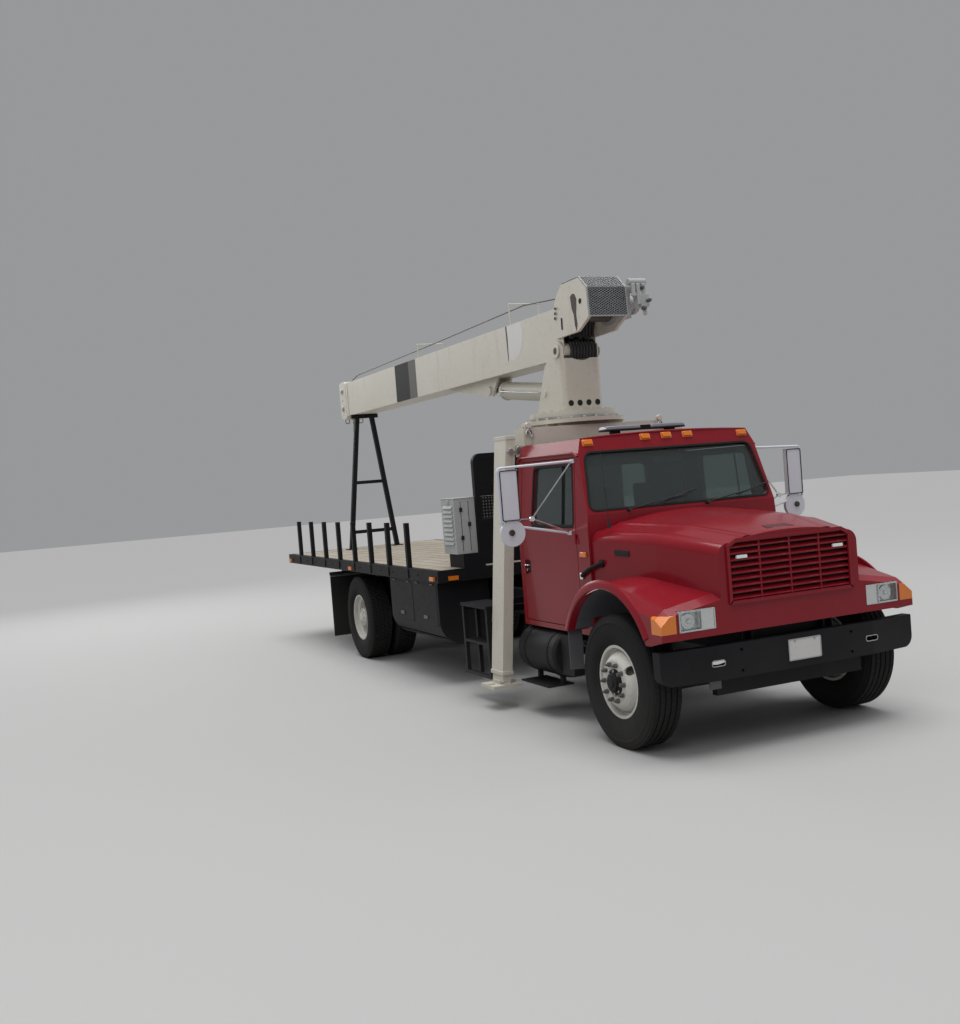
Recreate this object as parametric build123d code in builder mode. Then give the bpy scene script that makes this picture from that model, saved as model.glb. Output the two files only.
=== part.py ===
"""Crane truck: a conventional-cab, single rear axle truck with a boom crane behind its cab.

Millimetres. +X is forward, +Y is the driver's left, +Z is up. The origin lies on the ground,
halfway between the bumper's face and the tip of the stowed boom, on the truck's centre plane.
"""

import os
from math import atan2, cos, degrees, hypot, radians, sin

from build123d import *

os.makedirs("parts", exist_ok=True)

# Overall layout, lengths measured from the front axle
FRONT_REACH = 740  # to the bumper's face, forward
TAIL_REACH = 9600  # to the tip of the stowed boom, rearward
WHEELBASE = 6300
FRONT_AXLE_X = (TAIL_REACH - FRONT_REACH) / 2
REAR_AXLE_X = FRONT_AXLE_X - WHEELBASE

# Running gaps
FIT = 0.3  # between faces that slide or turn on each other
PANEL_GAP = 7  # between panels that open and what they close on

# Wheels and tyres
TYRE_RADIUS = 520
TYRE_WIDTH = 280
RIM_RADIUS = 298
RIM_SEAT_RADIUS = 276
RIM_WIDTH = 226
RIM_WALL = 10
FRONT_TRACK = 2070
REAR_OUTER_TRACK = 2120
TWIN_SPACING = 335
STUD_CIRCLE_RADIUS = 142.9
STUD_COUNT = 10
DRUM_RADIUS = 208
DRUM_WALL = 12

# Chassis frame
RAIL_HALF_SPREAD = 430  # outside of the rails
RAIL_DEPTH = 260
RAIL_FLANGE = 80
RAIL_WALL = 9
RAIL_TOP = 985
RAIL_FRONT = 640  # ahead of the front axle
RAIL_TAIL = TAIL_REACH - 180  # behind the front axle

# Front bumper
BUMPER_HALF_WIDTH = 1196
BUMPER_TOP = 818
BUMPER_BOTTOM = 565
BUMPER_DEPTH = 90
BUMPER_WALL = 8
BUMPER_SWEEP = 60  # how far back its ends lie
BUMPER_SLOT = (728, 692, 118, 50)  # y and z of its centre, length, height

# Cab
CAB_FRONT = 620  # behind the front axle
CAB_REAR = 1930
CAB_SILL = 790
CAB_BELT = 1690
CAB_EAVE = 2320
CAB_CROWN = 2470
CAB_ROOF_RISE = 28  # of the roof's arc
CAB_ROOF_SHOULDER = 50  # from the eave to the arc's end, sideways
CAB_HALF_WIDTH = 970
CAB_EAVE_HALF_WIDTH = 912
CAB_WALL = 45
SCREEN_BASE = 1800
SCREEN_LEAN = 330  # back per metre of height, times a thousand
CAB_FLOOR = 1030  # under the floor, over the frame
CAB_TUNNEL_HALF_WIDTH = 500

# Doors
DOOR_FRONT = 830  # behind the front axle
DOOR_REAR = 1868
DOOR_BOTTOM = CAB_SILL + CAB_WALL + PANEL_GAP
DOOR_TOP = 2285
HINGE_HEIGHTS = (1000, 1600)
GLASS = 6

# Hood and fenders
HOOD_REAR = CAB_FRONT - PANEL_GAP
HOOD_NOSE = 720  # ahead of the front axle
HOOD_WALL = 14
HOOD_BOTTOM = 897
FENDER_HALF_WIDTH = 1188
ARCH_RADIUS = 640
ARCH_CENTRE_BACK = 90
ARCH_CENTRE_Z = 600
HOOD_PIVOT_AHEAD = 660
HOOD_PIVOT_Z = 915
HINGE_PIN_RADIUS = 10

# Flatbed
BED_FRONT = 3420  # behind the front axle
BED_REAR = TAIL_REACH - 100
BED_HALF_WIDTH = 1220
DECK_TOP = 1240
DECK_THICKNESS = 40
BED_RAIL_DEPTH = 130
BED_RAIL_WIDTH = 70

# Crane
SLEW_BACK = 2480  # behind the front axle
TURNTABLE_Z = 2690  # top of the fixed plate
FLANGE_RADIUS = 430
COLUMN_HALF_WIDTH = 216
COLUMN_PLATE = 25
BOOM_PIVOT_BACK = 2300
BOOM_BOTTOM = 3290
BOOM_HEIGHT = 500
BOOM_TOP = BOOM_BOTTOM + BOOM_HEIGHT
BOOM_HALF_WIDTH = 185
BOOM_PIVOT_Z = BOOM_BOTTOM + 70
BOOM_BUTT_BACK = 2400
BOOM_MOUTH_BACK = TAIL_REACH - 370
BOOM_WALL = 9
SECTION_STEP = 22  # from one boom section's outside to the next one's
OUTRIGGER_BACK = 2141
LEG_LENGTHWISE = 248
LEG_CROSSWISE = 100
LEG_PIVOT_Y = 840
LEG_PIVOT_Z = 2415
LEG_LEAN = 5.6  # degrees, foot outward
COLUMN_FRONT_BACK = 2210
COLUMN_REAR_BACK = 2820
EAR_RADIUS = 95
BARREL_PIN_BACK = 2620
BARREL_PIN_Z = 2980
ROD_PIN_BACK = 4180
ROD_PIN_Z = BOOM_BOTTOM - 130
BARREL_RADIUS = 98
ROD_RADIUS = 50


def at(ahead):
    """The x of a point that lies ahead of the front axle."""
    return FRONT_AXLE_X + ahead


def back(behind):
    """The x of a point that lies behind the front axle."""
    return FRONT_AXLE_X - behind


def keep(name, part):
    """Label a finished piece and write it."""
    part.label = name
    export_step(part, f"parts/{name}.step")


def keep_pair(name, part):
    """Write a piece of the right side and its mirror on the left."""
    keep(f"{name}_right", part)
    keep(f"{name}_left", mirror(part, about=Plane.XZ))


# Chassis frame: two channel rails, cross members and the carrier of the bumper
CROSS_MEMBERS = (-560, 1700, 3100, 4500, 5500, 7100, 8300, RAIL_TAIL - 40)  # behind the front axle
CROSS_DEPTH = 160
with BuildPart() as chassis_frame:
    for side in (1, -1):
        web = side * (RAIL_HALF_SPREAD - RAIL_WALL / 2)
        flange = side * (RAIL_HALF_SPREAD - RAIL_FLANGE / 2)
        length = RAIL_FRONT + RAIL_TAIL
        middle = at((RAIL_FRONT - RAIL_TAIL) / 2)
        with Locations((middle, web, RAIL_TOP - RAIL_DEPTH / 2)):
            Box(length, RAIL_WALL, RAIL_DEPTH)
        for z in (RAIL_TOP - RAIL_WALL / 2, RAIL_TOP - RAIL_DEPTH + RAIL_WALL / 2):
            with Locations((middle, flange, z)):
                Box(length, RAIL_FLANGE, RAIL_WALL)
    for behind in CROSS_MEMBERS:
        with Locations((back(behind), 0, RAIL_TOP - RAIL_WALL - CROSS_DEPTH / 2 - 20)):
            Box(60, 2 * (RAIL_HALF_SPREAD - RAIL_WALL), CROSS_DEPTH)
    with Locations((at(RAIL_FRONT - 30), 0, 517)):
        Box(60, 1380, 165)
    with Locations(
        (at(RAIL_FRONT - 30), RAIL_HALF_SPREAD - 40, 665), (at(RAIL_FRONT - 30), 40 - RAIL_HALF_SPREAD, 665)
    ):
        Box(60, 80, 135)
    for side in (1, -1):
        with Locations((at(RAIL_FRONT - 25), side * 342, 830)):
            Box(60, 16, 190)
        with Locations((at(HOOD_PIVOT_AHEAD - 37), side * 342, HOOD_PIVOT_Z)):
            Box(74, 16, 60)
        with Locations(Location((at(HOOD_PIVOT_AHEAD), side * 342, HOOD_PIVOT_Z), (90, 0, 0))):
            Cylinder(34, 16)
        with Locations(Location((at(HOOD_PIVOT_AHEAD), side * 310, HOOD_PIVOT_Z), (90, 0, 0))):
            Cylinder(HINGE_PIN_RADIUS, 80)
keep("chassis_frame", chassis_frame.part)

# Front bumper: a swept channel with rounded lower ends and a pair of long slots
with BuildPart() as bumper:
    with BuildSketch(Plane.XY.offset(BUMPER_BOTTOM)):
        with BuildLine():
            Polyline(
                (at(FRONT_REACH), -BUMPER_HALF_WIDTH * 0.62),
                (at(FRONT_REACH), BUMPER_HALF_WIDTH * 0.62),
                (at(FRONT_REACH - BUMPER_SWEEP), BUMPER_HALF_WIDTH),
                (at(FRONT_REACH - BUMPER_SWEEP - BUMPER_DEPTH), BUMPER_HALF_WIDTH),
                (at(FRONT_REACH - BUMPER_DEPTH), BUMPER_HALF_WIDTH * 0.6),
                (at(FRONT_REACH - BUMPER_DEPTH), -BUMPER_HALF_WIDTH * 0.6),
                (at(FRONT_REACH - BUMPER_SWEEP - BUMPER_DEPTH), -BUMPER_HALF_WIDTH),
                (at(FRONT_REACH - BUMPER_SWEEP), -BUMPER_HALF_WIDTH),
                close=True,
            )
        make_face()
    extrude(amount=BUMPER_TOP - BUMPER_BOTTOM)
    corners = bumper.edges().filter_by(Axis.X, tolerance=45).group_by(Axis.Z)[0].filter_by(GeomType.LINE)
    ends = [e for e in corners if abs(e.center().Y) > BUMPER_HALF_WIDTH - 1]
    fillet(ends, 90)
    with BuildSketch(Plane.XY.offset(BUMPER_BOTTOM + BUMPER_WALL)):
        with BuildLine():
            Polyline(
                (at(FRONT_REACH - BUMPER_WALL), -BUMPER_HALF_WIDTH * 0.62),
                (at(FRONT_REACH - BUMPER_WALL), BUMPER_HALF_WIDTH * 0.62),
                (at(FRONT_REACH - BUMPER_SWEEP - BUMPER_WALL), BUMPER_HALF_WIDTH - 95),
                (at(FRONT_REACH - BUMPER_SWEEP - 2 * BUMPER_DEPTH), BUMPER_HALF_WIDTH - 95),
                (at(FRONT_REACH - BUMPER_SWEEP - 2 * BUMPER_DEPTH), 95 - BUMPER_HALF_WIDTH),
                (at(FRONT_REACH - BUMPER_SWEEP - BUMPER_WALL), 95 - BUMPER_HALF_WIDTH),
                close=True,
            )
        make_face()
    extrude(amount=BUMPER_TOP - BUMPER_BOTTOM - 2 * BUMPER_WALL, mode=Mode.SUBTRACT)
    slot_y, slot_z, slot_length, slot_height = BUMPER_SLOT
    with BuildSketch(Plane.YZ.offset(at(FRONT_REACH - BUMPER_WALL - 60))):
        with Locations((-slot_y, slot_z), (slot_y, slot_z)):
            SlotOverall(slot_length, slot_height)
    extrude(amount=BUMPER_WALL + 70, mode=Mode.SUBTRACT)
    with Locations(
        (at(FRONT_REACH - BUMPER_DEPTH / 2 - BUMPER_WALL / 2), RAIL_HALF_SPREAD - 40, 700),
        (at(FRONT_REACH - BUMPER_DEPTH / 2 - BUMPER_WALL / 2), 40 - RAIL_HALF_SPREAD, 700)
    ):
        Box(BUMPER_DEPTH - BUMPER_WALL + 20 - 10, 80, 120)
keep("front_bumper", bumper.part)


# Front axle: a dropped beam on two leaf springs, with its king pins
KINGPIN_Y = 900
KINGPIN_RADIUS = 22
EYE_RADIUS = 48
EYE_HALF_HEIGHT = 55
EAR_HEIGHT = 35
BEAM_DROP = 80
BEAM_DEPTH = 100
BEAM_THICKNESS = 84
AXLE_Z = TYRE_RADIUS
SPRING_WIDTH = 76
FRONT_SPRING_Y = 400
FRONT_SPRING_HALF_LENGTH = 520
RAIL_BOTTOM = RAIL_TOP - RAIL_DEPTH


def leaf_spring(x, y, seat_z, half_length, thickness, eye_z, hanger_top):
    """A curved leaf pack from eye to eye, with the hangers that carry its eyes."""
    with BuildPart() as spring:
        with BuildSketch(Plane.XZ.offset(-y - SPRING_WIDTH / 2)):
            with BuildLine():
                top = ThreePointArc(
                    (x - half_length, eye_z), (x, seat_z + thickness), (x + half_length, eye_z)
                )
                Line(top @ 1, (x + half_length, eye_z - 18))
                low = ThreePointArc(
                    (x + half_length, eye_z - 18), (x, seat_z), (x - half_length, eye_z - 18)
                )
                Line(low @ 1, top @ 0)
            make_face()
            with Locations((x - half_length, eye_z - 9), (x + half_length, eye_z - 9)):
                Circle(28)
        extrude(amount=SPRING_WIDTH)
        for end in (x - half_length, x + half_length):
            for cheek in (-1, 1):
                with Locations((end, y + cheek * (SPRING_WIDTH / 2 + 6), (hanger_top + eye_z - 40) / 2)):
                    Box(90, 12, hanger_top - eye_z + 40)
            with Locations((end, y, hanger_top - 8)):
                Box(110, SPRING_WIDTH + 24, 16)
    return spring.part


with BuildPart() as front_axle:
    with BuildSketch(Plane.YZ.offset(FRONT_AXLE_X - BEAM_THICKNESS / 2)):
        with BuildLine():
            high = AXLE_Z + BEAM_DEPTH / 2
            low = AXLE_Z - BEAM_DEPTH / 2
            Polyline(
                (-KINGPIN_Y, high), (-KINGPIN_Y + 90, high), (-620, high - BEAM_DROP),
                (620, high - BEAM_DROP),
                (KINGPIN_Y - 90, high), (KINGPIN_Y, high), (KINGPIN_Y, low), (KINGPIN_Y - 90, low),
                (620, low - BEAM_DROP), (-620, low - BEAM_DROP), (-KINGPIN_Y + 90, low), (-KINGPIN_Y, low),
                close=True,
            )
        make_face()
    extrude(amount=BEAM_THICKNESS)
    with Locations((FRONT_AXLE_X, KINGPIN_Y, AXLE_Z), (FRONT_AXLE_X, -KINGPIN_Y, AXLE_Z)):
        Cylinder(EYE_RADIUS, 2 * EYE_HALF_HEIGHT)
        Cylinder(KINGPIN_RADIUS, 2 * (EYE_HALF_HEIGHT + EAR_HEIGHT) + 10)
    for side in (1, -1):
        seat = AXLE_Z + BEAM_DEPTH / 2 - BEAM_DROP
        with Locations((FRONT_AXLE_X, side * FRONT_SPRING_Y, seat + 6)):
            Box(150, SPRING_WIDTH + 24, 24)
        add(
            leaf_spring(
                FRONT_AXLE_X, side * FRONT_SPRING_Y, seat, FRONT_SPRING_HALF_LENGTH, 62, RAIL_BOTTOM - 55,
                RAIL_BOTTOM
            )
        )
keep("front_axle", front_axle.part)

# Steering knuckles, each with its spindle, brake plate and steering arm
ARM_REACH = 180
ARM_END_Y = 850
SPINDLE_RADIUS = 45
HUB_INBOARD = 1000
with BuildPart() as knuckle:
    ear_low = AXLE_Z - EYE_HALF_HEIGHT - FIT
    ear_high = AXLE_Z + EYE_HALF_HEIGHT + FIT
    with Locations(
        (FRONT_AXLE_X, -KINGPIN_Y, ear_low - EAR_HEIGHT / 2),
        (FRONT_AXLE_X, -KINGPIN_Y, ear_high + EAR_HEIGHT / 2)
    ):
        Cylinder(EYE_RADIUS, EAR_HEIGHT)
        with Locations((0, -45, 0)):
            Box(2 * EYE_RADIUS, 90, EAR_HEIGHT)
    with Locations((FRONT_AXLE_X, -KINGPIN_Y - 75, AXLE_Z)):
        Box(2 * EYE_RADIUS, 30, 2 * (EYE_HALF_HEIGHT + EAR_HEIGHT + FIT))
    with Locations(Location((FRONT_AXLE_X, -KINGPIN_Y - 58, AXLE_Z), (90, 0, 0))):
        Cylinder(188, 10)
    with Locations(Location((FRONT_AXLE_X, -(KINGPIN_Y + 70 + HUB_INBOARD + 96) / 2, AXLE_Z), (90, 0, 0))):
        Cylinder(SPINDLE_RADIUS, HUB_INBOARD + 96 - KINGPIN_Y - 70)
    with BuildSketch(Plane.XY.offset(ear_low - EAR_HEIGHT)):
        with Locations((FRONT_AXLE_X, -KINGPIN_Y), (FRONT_AXLE_X - ARM_REACH, -ARM_END_Y)):
            Circle(26)
        make_hull()
    extrude(amount=25)
    with Locations((FRONT_AXLE_X, -KINGPIN_Y, AXLE_Z)):
        Cylinder(KINGPIN_RADIUS + FIT, 2 * (EYE_HALF_HEIGHT + EAR_HEIGHT) + 20, mode=Mode.SUBTRACT)
        Cylinder(EYE_RADIUS + 3, 2 * (EYE_HALF_HEIGHT + FIT), mode=Mode.SUBTRACT)
keep_pair("knuckle", knuckle.part)

with BuildPart() as tie_rod:
    rod_top = AXLE_Z - EYE_HALF_HEIGHT - 2 * FIT - EAR_HEIGHT
    with BuildSketch(Plane.XY.offset(rod_top - 28)):
        with Locations((FRONT_AXLE_X - ARM_REACH, ARM_END_Y), (FRONT_AXLE_X - ARM_REACH, -ARM_END_Y)):
            Circle(24)
    extrude(amount=28)
    with Locations(Location((FRONT_AXLE_X - ARM_REACH, 0, rod_top - 14), (90, 0, 0))):
        Cylinder(14, 2 * ARM_END_Y)
keep("tie_rod", tie_rod.part)


def revolved(x, points):
    """A ring about the wheel's axis; points are (y, radius)."""
    with BuildPart() as ring:
        with BuildSketch(Plane.YZ.offset(x)):
            with BuildLine():
                Polyline([(y, AXLE_Z + radius) for y, radius in points], close=True)
            make_face()
        revolve(axis=Axis((x, 0, AXLE_Z), (0, 1, 0)))
    return ring.part


def tyre(x, centre):
    """One tyre; its centre plane is at y = centre."""
    half = TYRE_WIDTH / 2
    outline = (
        (-103.5, RIM_SEAT_RADIUS + FIT), (-104.5, 299), (-113, 306), (-half, 380), (-half + 4, 440),
        (-half + 14, 496), (-half + 30, 514), (-60, TYRE_RADIUS)
    )
    points = [(centre + u, r) for u, r in outline] + [(centre - u, r) for u, r in reversed(outline)]
    return revolved(x, points)


def rim(x, centre):
    """One rim barrel with its two flanges and dropped centre."""
    half = RIM_WIDTH / 2
    outer = (
        (-half, RIM_RADIUS), (-half + 8, RIM_RADIUS), (-half + 9, RIM_SEAT_RADIUS),
        (-62, RIM_SEAT_RADIUS - 2), (-42, 252)
    )
    inner = ((42, 242), (62, RIM_SEAT_RADIUS - 12), (half, RIM_SEAT_RADIUS - 10))
    points = [(centre + u, r) for u, r in outer] + [(centre - u, r) for u, r in reversed(outer)]
    points += [
        (centre - u, r) for u, r in ((-half, RIM_SEAT_RADIUS - 10), (-62, RIM_SEAT_RADIUS - 12), (-42, 242))
    ]
    points += [(centre - u, r) for u, r in inner]
    return revolved(x, points)


# Front wheels: the tyre, and the disc wheel with its hub and brake drum
FRONT_Y = FRONT_TRACK / 2
with BuildPart() as front_tyre:
    add(tyre(FRONT_AXLE_X, -FRONT_Y))
keep_pair("tyre_front", front_tyre.part)

DISC = 12
BORE_RADIUS = 110
NUT_FACE = 146  # outboard of the tyre's centre plane
HAND_HOLE_RADIUS = 36
HAND_HOLE_CIRCLE = 208
HAND_HOLE_ANGLES = (31, 211)  # degrees up from straight ahead
with BuildPart() as front_wheel:
    add(rim(FRONT_AXLE_X, -FRONT_Y))
    disc = (
        (36, 247), (88, 229), (120, 206), (NUT_FACE - 6, 183), (NUT_FACE, 170), (NUT_FACE, BORE_RADIUS),
        (NUT_FACE - DISC, BORE_RADIUS), (NUT_FACE - DISC, 166), (NUT_FACE - DISC - 6, 176), (110, 196),
        (80, 217), (24, 247)
    )
    add(revolved(FRONT_AXLE_X, [(-FRONT_Y - u, r) for u, r in disc]))
    with Locations(
        Location((FRONT_AXLE_X, -(HUB_INBOARD + FRONT_Y + NUT_FACE - 8) / 2, AXLE_Z), (90, 0, 0))
    ):
        Cylinder(BORE_RADIUS, FRONT_Y + NUT_FACE - 8 - HUB_INBOARD)
    drum = (
        (925, DRUM_RADIUS), (1072, DRUM_RADIUS), (1072, 60), (1060, 60), (1060, DRUM_RADIUS - DRUM_WALL),
        (925, DRUM_RADIUS - DRUM_WALL)
    )
    add(revolved(FRONT_AXLE_X, [(-y, r) for y, r in drum]))
    with Locations(Location((FRONT_AXLE_X, -(HUB_INBOARD + 50), AXLE_Z), (90, 0, 0))):
        Cylinder(SPINDLE_RADIUS + FIT, 100, mode=Mode.SUBTRACT)
    for angle in HAND_HOLE_ANGLES:
        hole_x = FRONT_AXLE_X + HAND_HOLE_CIRCLE * cos(radians(angle))
        hole_z = AXLE_Z + HAND_HOLE_CIRCLE * sin(radians(angle))
        with Locations(Location((hole_x, -FRONT_Y - 110, hole_z), (90, 0, 0))):
            Cylinder(HAND_HOLE_RADIUS, 110, mode=Mode.SUBTRACT)
keep_pair("wheel_front", front_wheel.part)

# Rear axle: housing, differential and springs
REAR_SPRING_Y = 490
REAR_OUTER_Y = REAR_OUTER_TRACK / 2
REAR_INNER_Y = REAR_OUTER_Y - TWIN_SPACING
TWIN_PLANE = (REAR_OUTER_Y + REAR_INNER_Y) / 2
with BuildPart() as rear_axle:
    with Locations(Location((REAR_AXLE_X, 0, AXLE_Z), (90, 0, 0))):
        Cylinder(70, 1240)
        Cylinder(50, 2 * 1080)
        Cylinder(185, 190)
    with Locations(Location((REAR_AXLE_X + 190, 0, AXLE_Z), (0, 90, 0))):
        Cylinder(85, 220)
    for side in (1, -1):
        add(leaf_spring(REAR_AXLE_X, side * REAR_SPRING_Y, AXLE_Z + 70, 700, 80, 760, 840))
        with Locations((REAR_AXLE_X, side * REAR_SPRING_Y, AXLE_Z + 60)):
            Box(140, SPRING_WIDTH + 20, 40)
        for end in (-700, 700):
            with Locations((REAR_AXLE_X + end, side * (RAIL_HALF_SPREAD + 6), 790)):
                Box(90, 12, 100)
keep("rear_axle", rear_axle.part)

with BuildPart() as rear_tyres:
    add(tyre(REAR_AXLE_X, -REAR_OUTER_Y))
    add(tyre(REAR_AXLE_X, -REAR_INNER_Y))
keep_pair("tyres_rear", rear_tyres.part)

with BuildPart() as rear_wheels:
    for centre, toward in ((REAR_OUTER_Y, -1), (REAR_INNER_Y, 1)):
        add(rim(REAR_AXLE_X, -centre))
        reach = TWIN_SPACING / 2
        disc = (
            (20, 247), (reach - 40, 215), (reach, 190), (reach, BORE_RADIUS - 4),
            (reach - DISC, BORE_RADIUS - 4), (reach - DISC, 185), (reach - 52, 205), (8, 245)
        )
        add(revolved(REAR_AXLE_X, [(-centre - toward * u, r) for u, r in disc]))
    with Locations(Location((REAR_AXLE_X, -(TWIN_PLANE - 30 + 1140) / 2, AXLE_Z), (90, 0, 0))):
        Cylinder(BORE_RADIUS, 1140 - TWIN_PLANE + 30)
    drum = (
        (665, DRUM_RADIUS), (880, DRUM_RADIUS), (880, 60), (866, 60), (866, DRUM_RADIUS - DRUM_WALL),
        (665, DRUM_RADIUS - DRUM_WALL)
    )
    add(revolved(REAR_AXLE_X, [(-y, r) for y, r in drum]))
    with Locations(Location((REAR_AXLE_X, -(TWIN_PLANE - 60 + 1081) / 2, AXLE_Z), (90, 0, 0))):
        Cylinder(50 + FIT, 1081 - TWIN_PLANE + 60, mode=Mode.SUBTRACT)
keep_pair("wheels_rear", rear_wheels.part)

# Engine with its gearbox, and the radiator behind the grille
with BuildPart() as engine:
    with Locations((back(110), 0, 1050)):
        Box(1000, 660, 860)
    with Locations((back(1030 + FIT), 0, 680)):
        Box(840 - 2 * FIT, 380, 240)
    with Locations((at(200), 345, 770), (at(200), -345, 770)):
        Box(120, 50, 60)
keep("engine", engine.part)

with BuildPart() as radiator:
    with Locations((at(455), 0, 1150)):
        Box(70, 690, 740)
    with Locations((at(455), 383, 830), (at(455), -383, 830)):
        Box(60, 76, 60)
keep("radiator", radiator.part)

with BuildPart() as propshaft:
    shaft_front = (back(1451), 0, 680)
    shaft_mid = (back(3900), 0, 650)
    shaft_rear = (REAR_AXLE_X + 303.3, 0, AXLE_Z)
    for start, end in ((shaft_front, shaft_mid), (shaft_mid, shaft_rear)):
        run = hypot(start[0] - end[0], start[2] - end[2])
        drop = degrees(atan2(start[2] - end[2], start[0] - end[0]))
        with Locations(Location(((start[0] + end[0]) / 2, 0, (start[2] + end[2]) / 2), (0, 90 - drop, 0))):
            Cylinder(48, run)
    with Locations((back(3900), 0, 730)):
        Box(50, 120, 192)
    with Locations((back(3900), 0, 816)):
        Box(50, 2 * (RAIL_HALF_SPREAD - RAIL_WALL), 40)
keep("propshaft", propshaft.part)


# Cab: a shell of one wall thickness, cut by its screen, rear window, door openings and tunnel


def cab_form(inset):
    """The cab's solid outline, drawn in by inset on every side."""
    half = CAB_HALF_WIDTH - inset
    eave = CAB_EAVE_HALF_WIDTH - inset
    bottom = CAB_SILL + inset
    front = back(CAB_FRONT + inset)
    rear = back(CAB_REAR - inset)
    arc_end = eave - CAB_ROOF_SHOULDER
    arc_z = CAB_CROWN - CAB_ROOF_RISE - inset
    with BuildPart() as form:
        with BuildSketch(Plane.YZ.offset(rear)):
            with BuildLine():
                Polyline(
                    (-arc_end, arc_z), (-eave, CAB_EAVE - inset), (-half, CAB_BELT), (-half, bottom),
                    (half, bottom), (half, CAB_BELT), (eave, CAB_EAVE - inset), (arc_end, arc_z),
                )
                ThreePointArc((arc_end, arc_z), (0, CAB_CROWN - inset), (-arc_end, arc_z))
            make_face()
        extrude(amount=front - rear)
        with BuildSketch(Plane.XZ) as side_view:
            with BuildLine():
                rise = CAB_CROWN + 100 - SCREEN_BASE
                Polyline(
                    (rear, bottom), (front, bottom), (front, SCREEN_BASE),
                    (front - rise * SCREEN_LEAN / 1000, CAB_CROWN + 100),
                    (rear, CAB_CROWN + 100), close=True,
                )
            make_face()
        extrude(amount=CAB_HALF_WIDTH, both=True, mode=Mode.INTERSECT)
        with Locations(((front + rear) / 2, 0, (CAB_FLOOR + inset + bottom) / 2 - 20)):
            Box(
                CAB_REAR, 2 * (CAB_TUNNEL_HALF_WIDTH + inset), CAB_FLOOR + inset - bottom + 40,
                mode=Mode.SUBTRACT
            )
    return form.part


def door_region(gap):
    """The prism of the right door, grown by gap all round."""
    with BuildPart() as region:
        with BuildSketch(Plane.XZ.offset(CAB_EAVE_HALF_WIDTH - 2 * CAB_WALL)):
            with BuildLine():
                Polyline(
                    (back(DOOR_FRONT - gap), DOOR_BOTTOM - gap), (back(DOOR_FRONT - gap), CAB_BELT),
                    (back(DOOR_FRONT + 32 - gap), DOOR_TOP + gap),
                    (back(DOOR_REAR - 20 + gap), DOOR_TOP + gap), (back(DOOR_REAR + gap), CAB_BELT),
                    (back(DOOR_REAR + gap), DOOR_BOTTOM - gap),
                    close=True,
                )
            make_face()
        extrude(amount=300)
    return region.part


def door_window(grow):
    """The prism of the right door's window, grown all round."""
    with BuildPart() as region:
        with BuildSketch(Plane.XZ.offset(CAB_EAVE_HALF_WIDTH - 3 * CAB_WALL)) as opening:
            with BuildLine():
                Polyline(
                    (back(862 - grow), 1712 - grow), (back(900 - grow), 2232 + grow),
                    (back(1612 + grow), 2232 + grow), (back(1655 + grow), 1712 - grow),
                    close=True,
                )
            make_face()
            fillet(opening.vertices(), 55)
        extrude(amount=400)
    return region.part


def screen_prism(grow):
    """The windscreen's opening, along the truck."""
    with BuildPart() as region:
        with BuildSketch(Plane.YZ.offset(back(CAB_FRONT + 400))) as opening:
            with BuildLine():
                Polyline(
                    (-925 - grow, 1835 - grow), (925 + grow, 1835 - grow), (850 + grow, 2318 + grow),
                    (-850 - grow, 2318 + grow), close=True
                )
            make_face()
            fillet(opening.vertices(), 70)
        extrude(amount=500)
    return region.part


def rear_window(grow):
    """The rear window's opening."""
    with BuildPart() as region:
        with BuildSketch(Plane.YZ.offset(back(CAB_REAR + 60))):
            with Locations((0, 1990)):
                RectangleRounded(900 + 2 * grow, 420 + 2 * grow, 60)
        extrude(amount=200)
    return region.part


cab_outer = cab_form(0)
cab_inner = cab_form(CAB_WALL)
door_opening = door_region(PANEL_GAP)
with BuildPart() as cab_shell:
    add(cab_outer)
    add(cab_inner, mode=Mode.SUBTRACT)
    add(door_opening, mode=Mode.SUBTRACT)
    add(mirror(door_opening, about=Plane.XZ), mode=Mode.SUBTRACT)
    add(screen_prism(0), mode=Mode.SUBTRACT)
    add(rear_window(0), mode=Mode.SUBTRACT)
    for x in (back(CAB_FRONT + 120), back(CAB_REAR - 120)):
        with Locations((x, 390, (RAIL_TOP + CAB_FLOOR) / 2), (x, -390, (RAIL_TOP + CAB_FLOOR) / 2)):
            Cylinder(38, CAB_FLOOR - RAIL_TOP)
    for z in HINGE_HEIGHTS:
        for side in (1, -1):
            with Locations((back(DOOR_FRONT - 25), side * (CAB_HALF_WIDTH + 3), z - 22)):
                Box(42, 6, 40)
            with Locations((back(DOOR_FRONT - 4), side * (CAB_HALF_WIDTH + 10), z - 22)):
                Cylinder(9, 40)
keep("cab_shell", cab_shell.part)

with BuildPart() as door:
    add(cab_outer)
    add(cab_inner, mode=Mode.SUBTRACT)
    add(door_region(0), mode=Mode.INTERSECT)
    add(door_window(0), mode=Mode.SUBTRACT)
    for z in HINGE_HEIGHTS:
        with Locations((back(DOOR_FRONT + 20), -(CAB_HALF_WIDTH + 3), z + 22)):
            Box(46, 6, 40)
        with Locations((back(DOOR_FRONT - 4), -(CAB_HALF_WIDTH + 10), z + 20)):
            Cylinder(9, 44 - 2 * FIT)
    with Locations((back(DOOR_REAR - 60), -(CAB_HALF_WIDTH + 12), 1330)):
        Box(30, 24, 130)
keep_pair("door", door.part)

pane = cab_form(20)
pane_inside = cab_form(20 + GLASS)
with BuildPart() as door_glass:
    add(pane)
    add(pane_inside, mode=Mode.SUBTRACT)
    add(door_window(0), mode=Mode.INTERSECT)
keep_pair("door_glass", door_glass.part)

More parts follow.
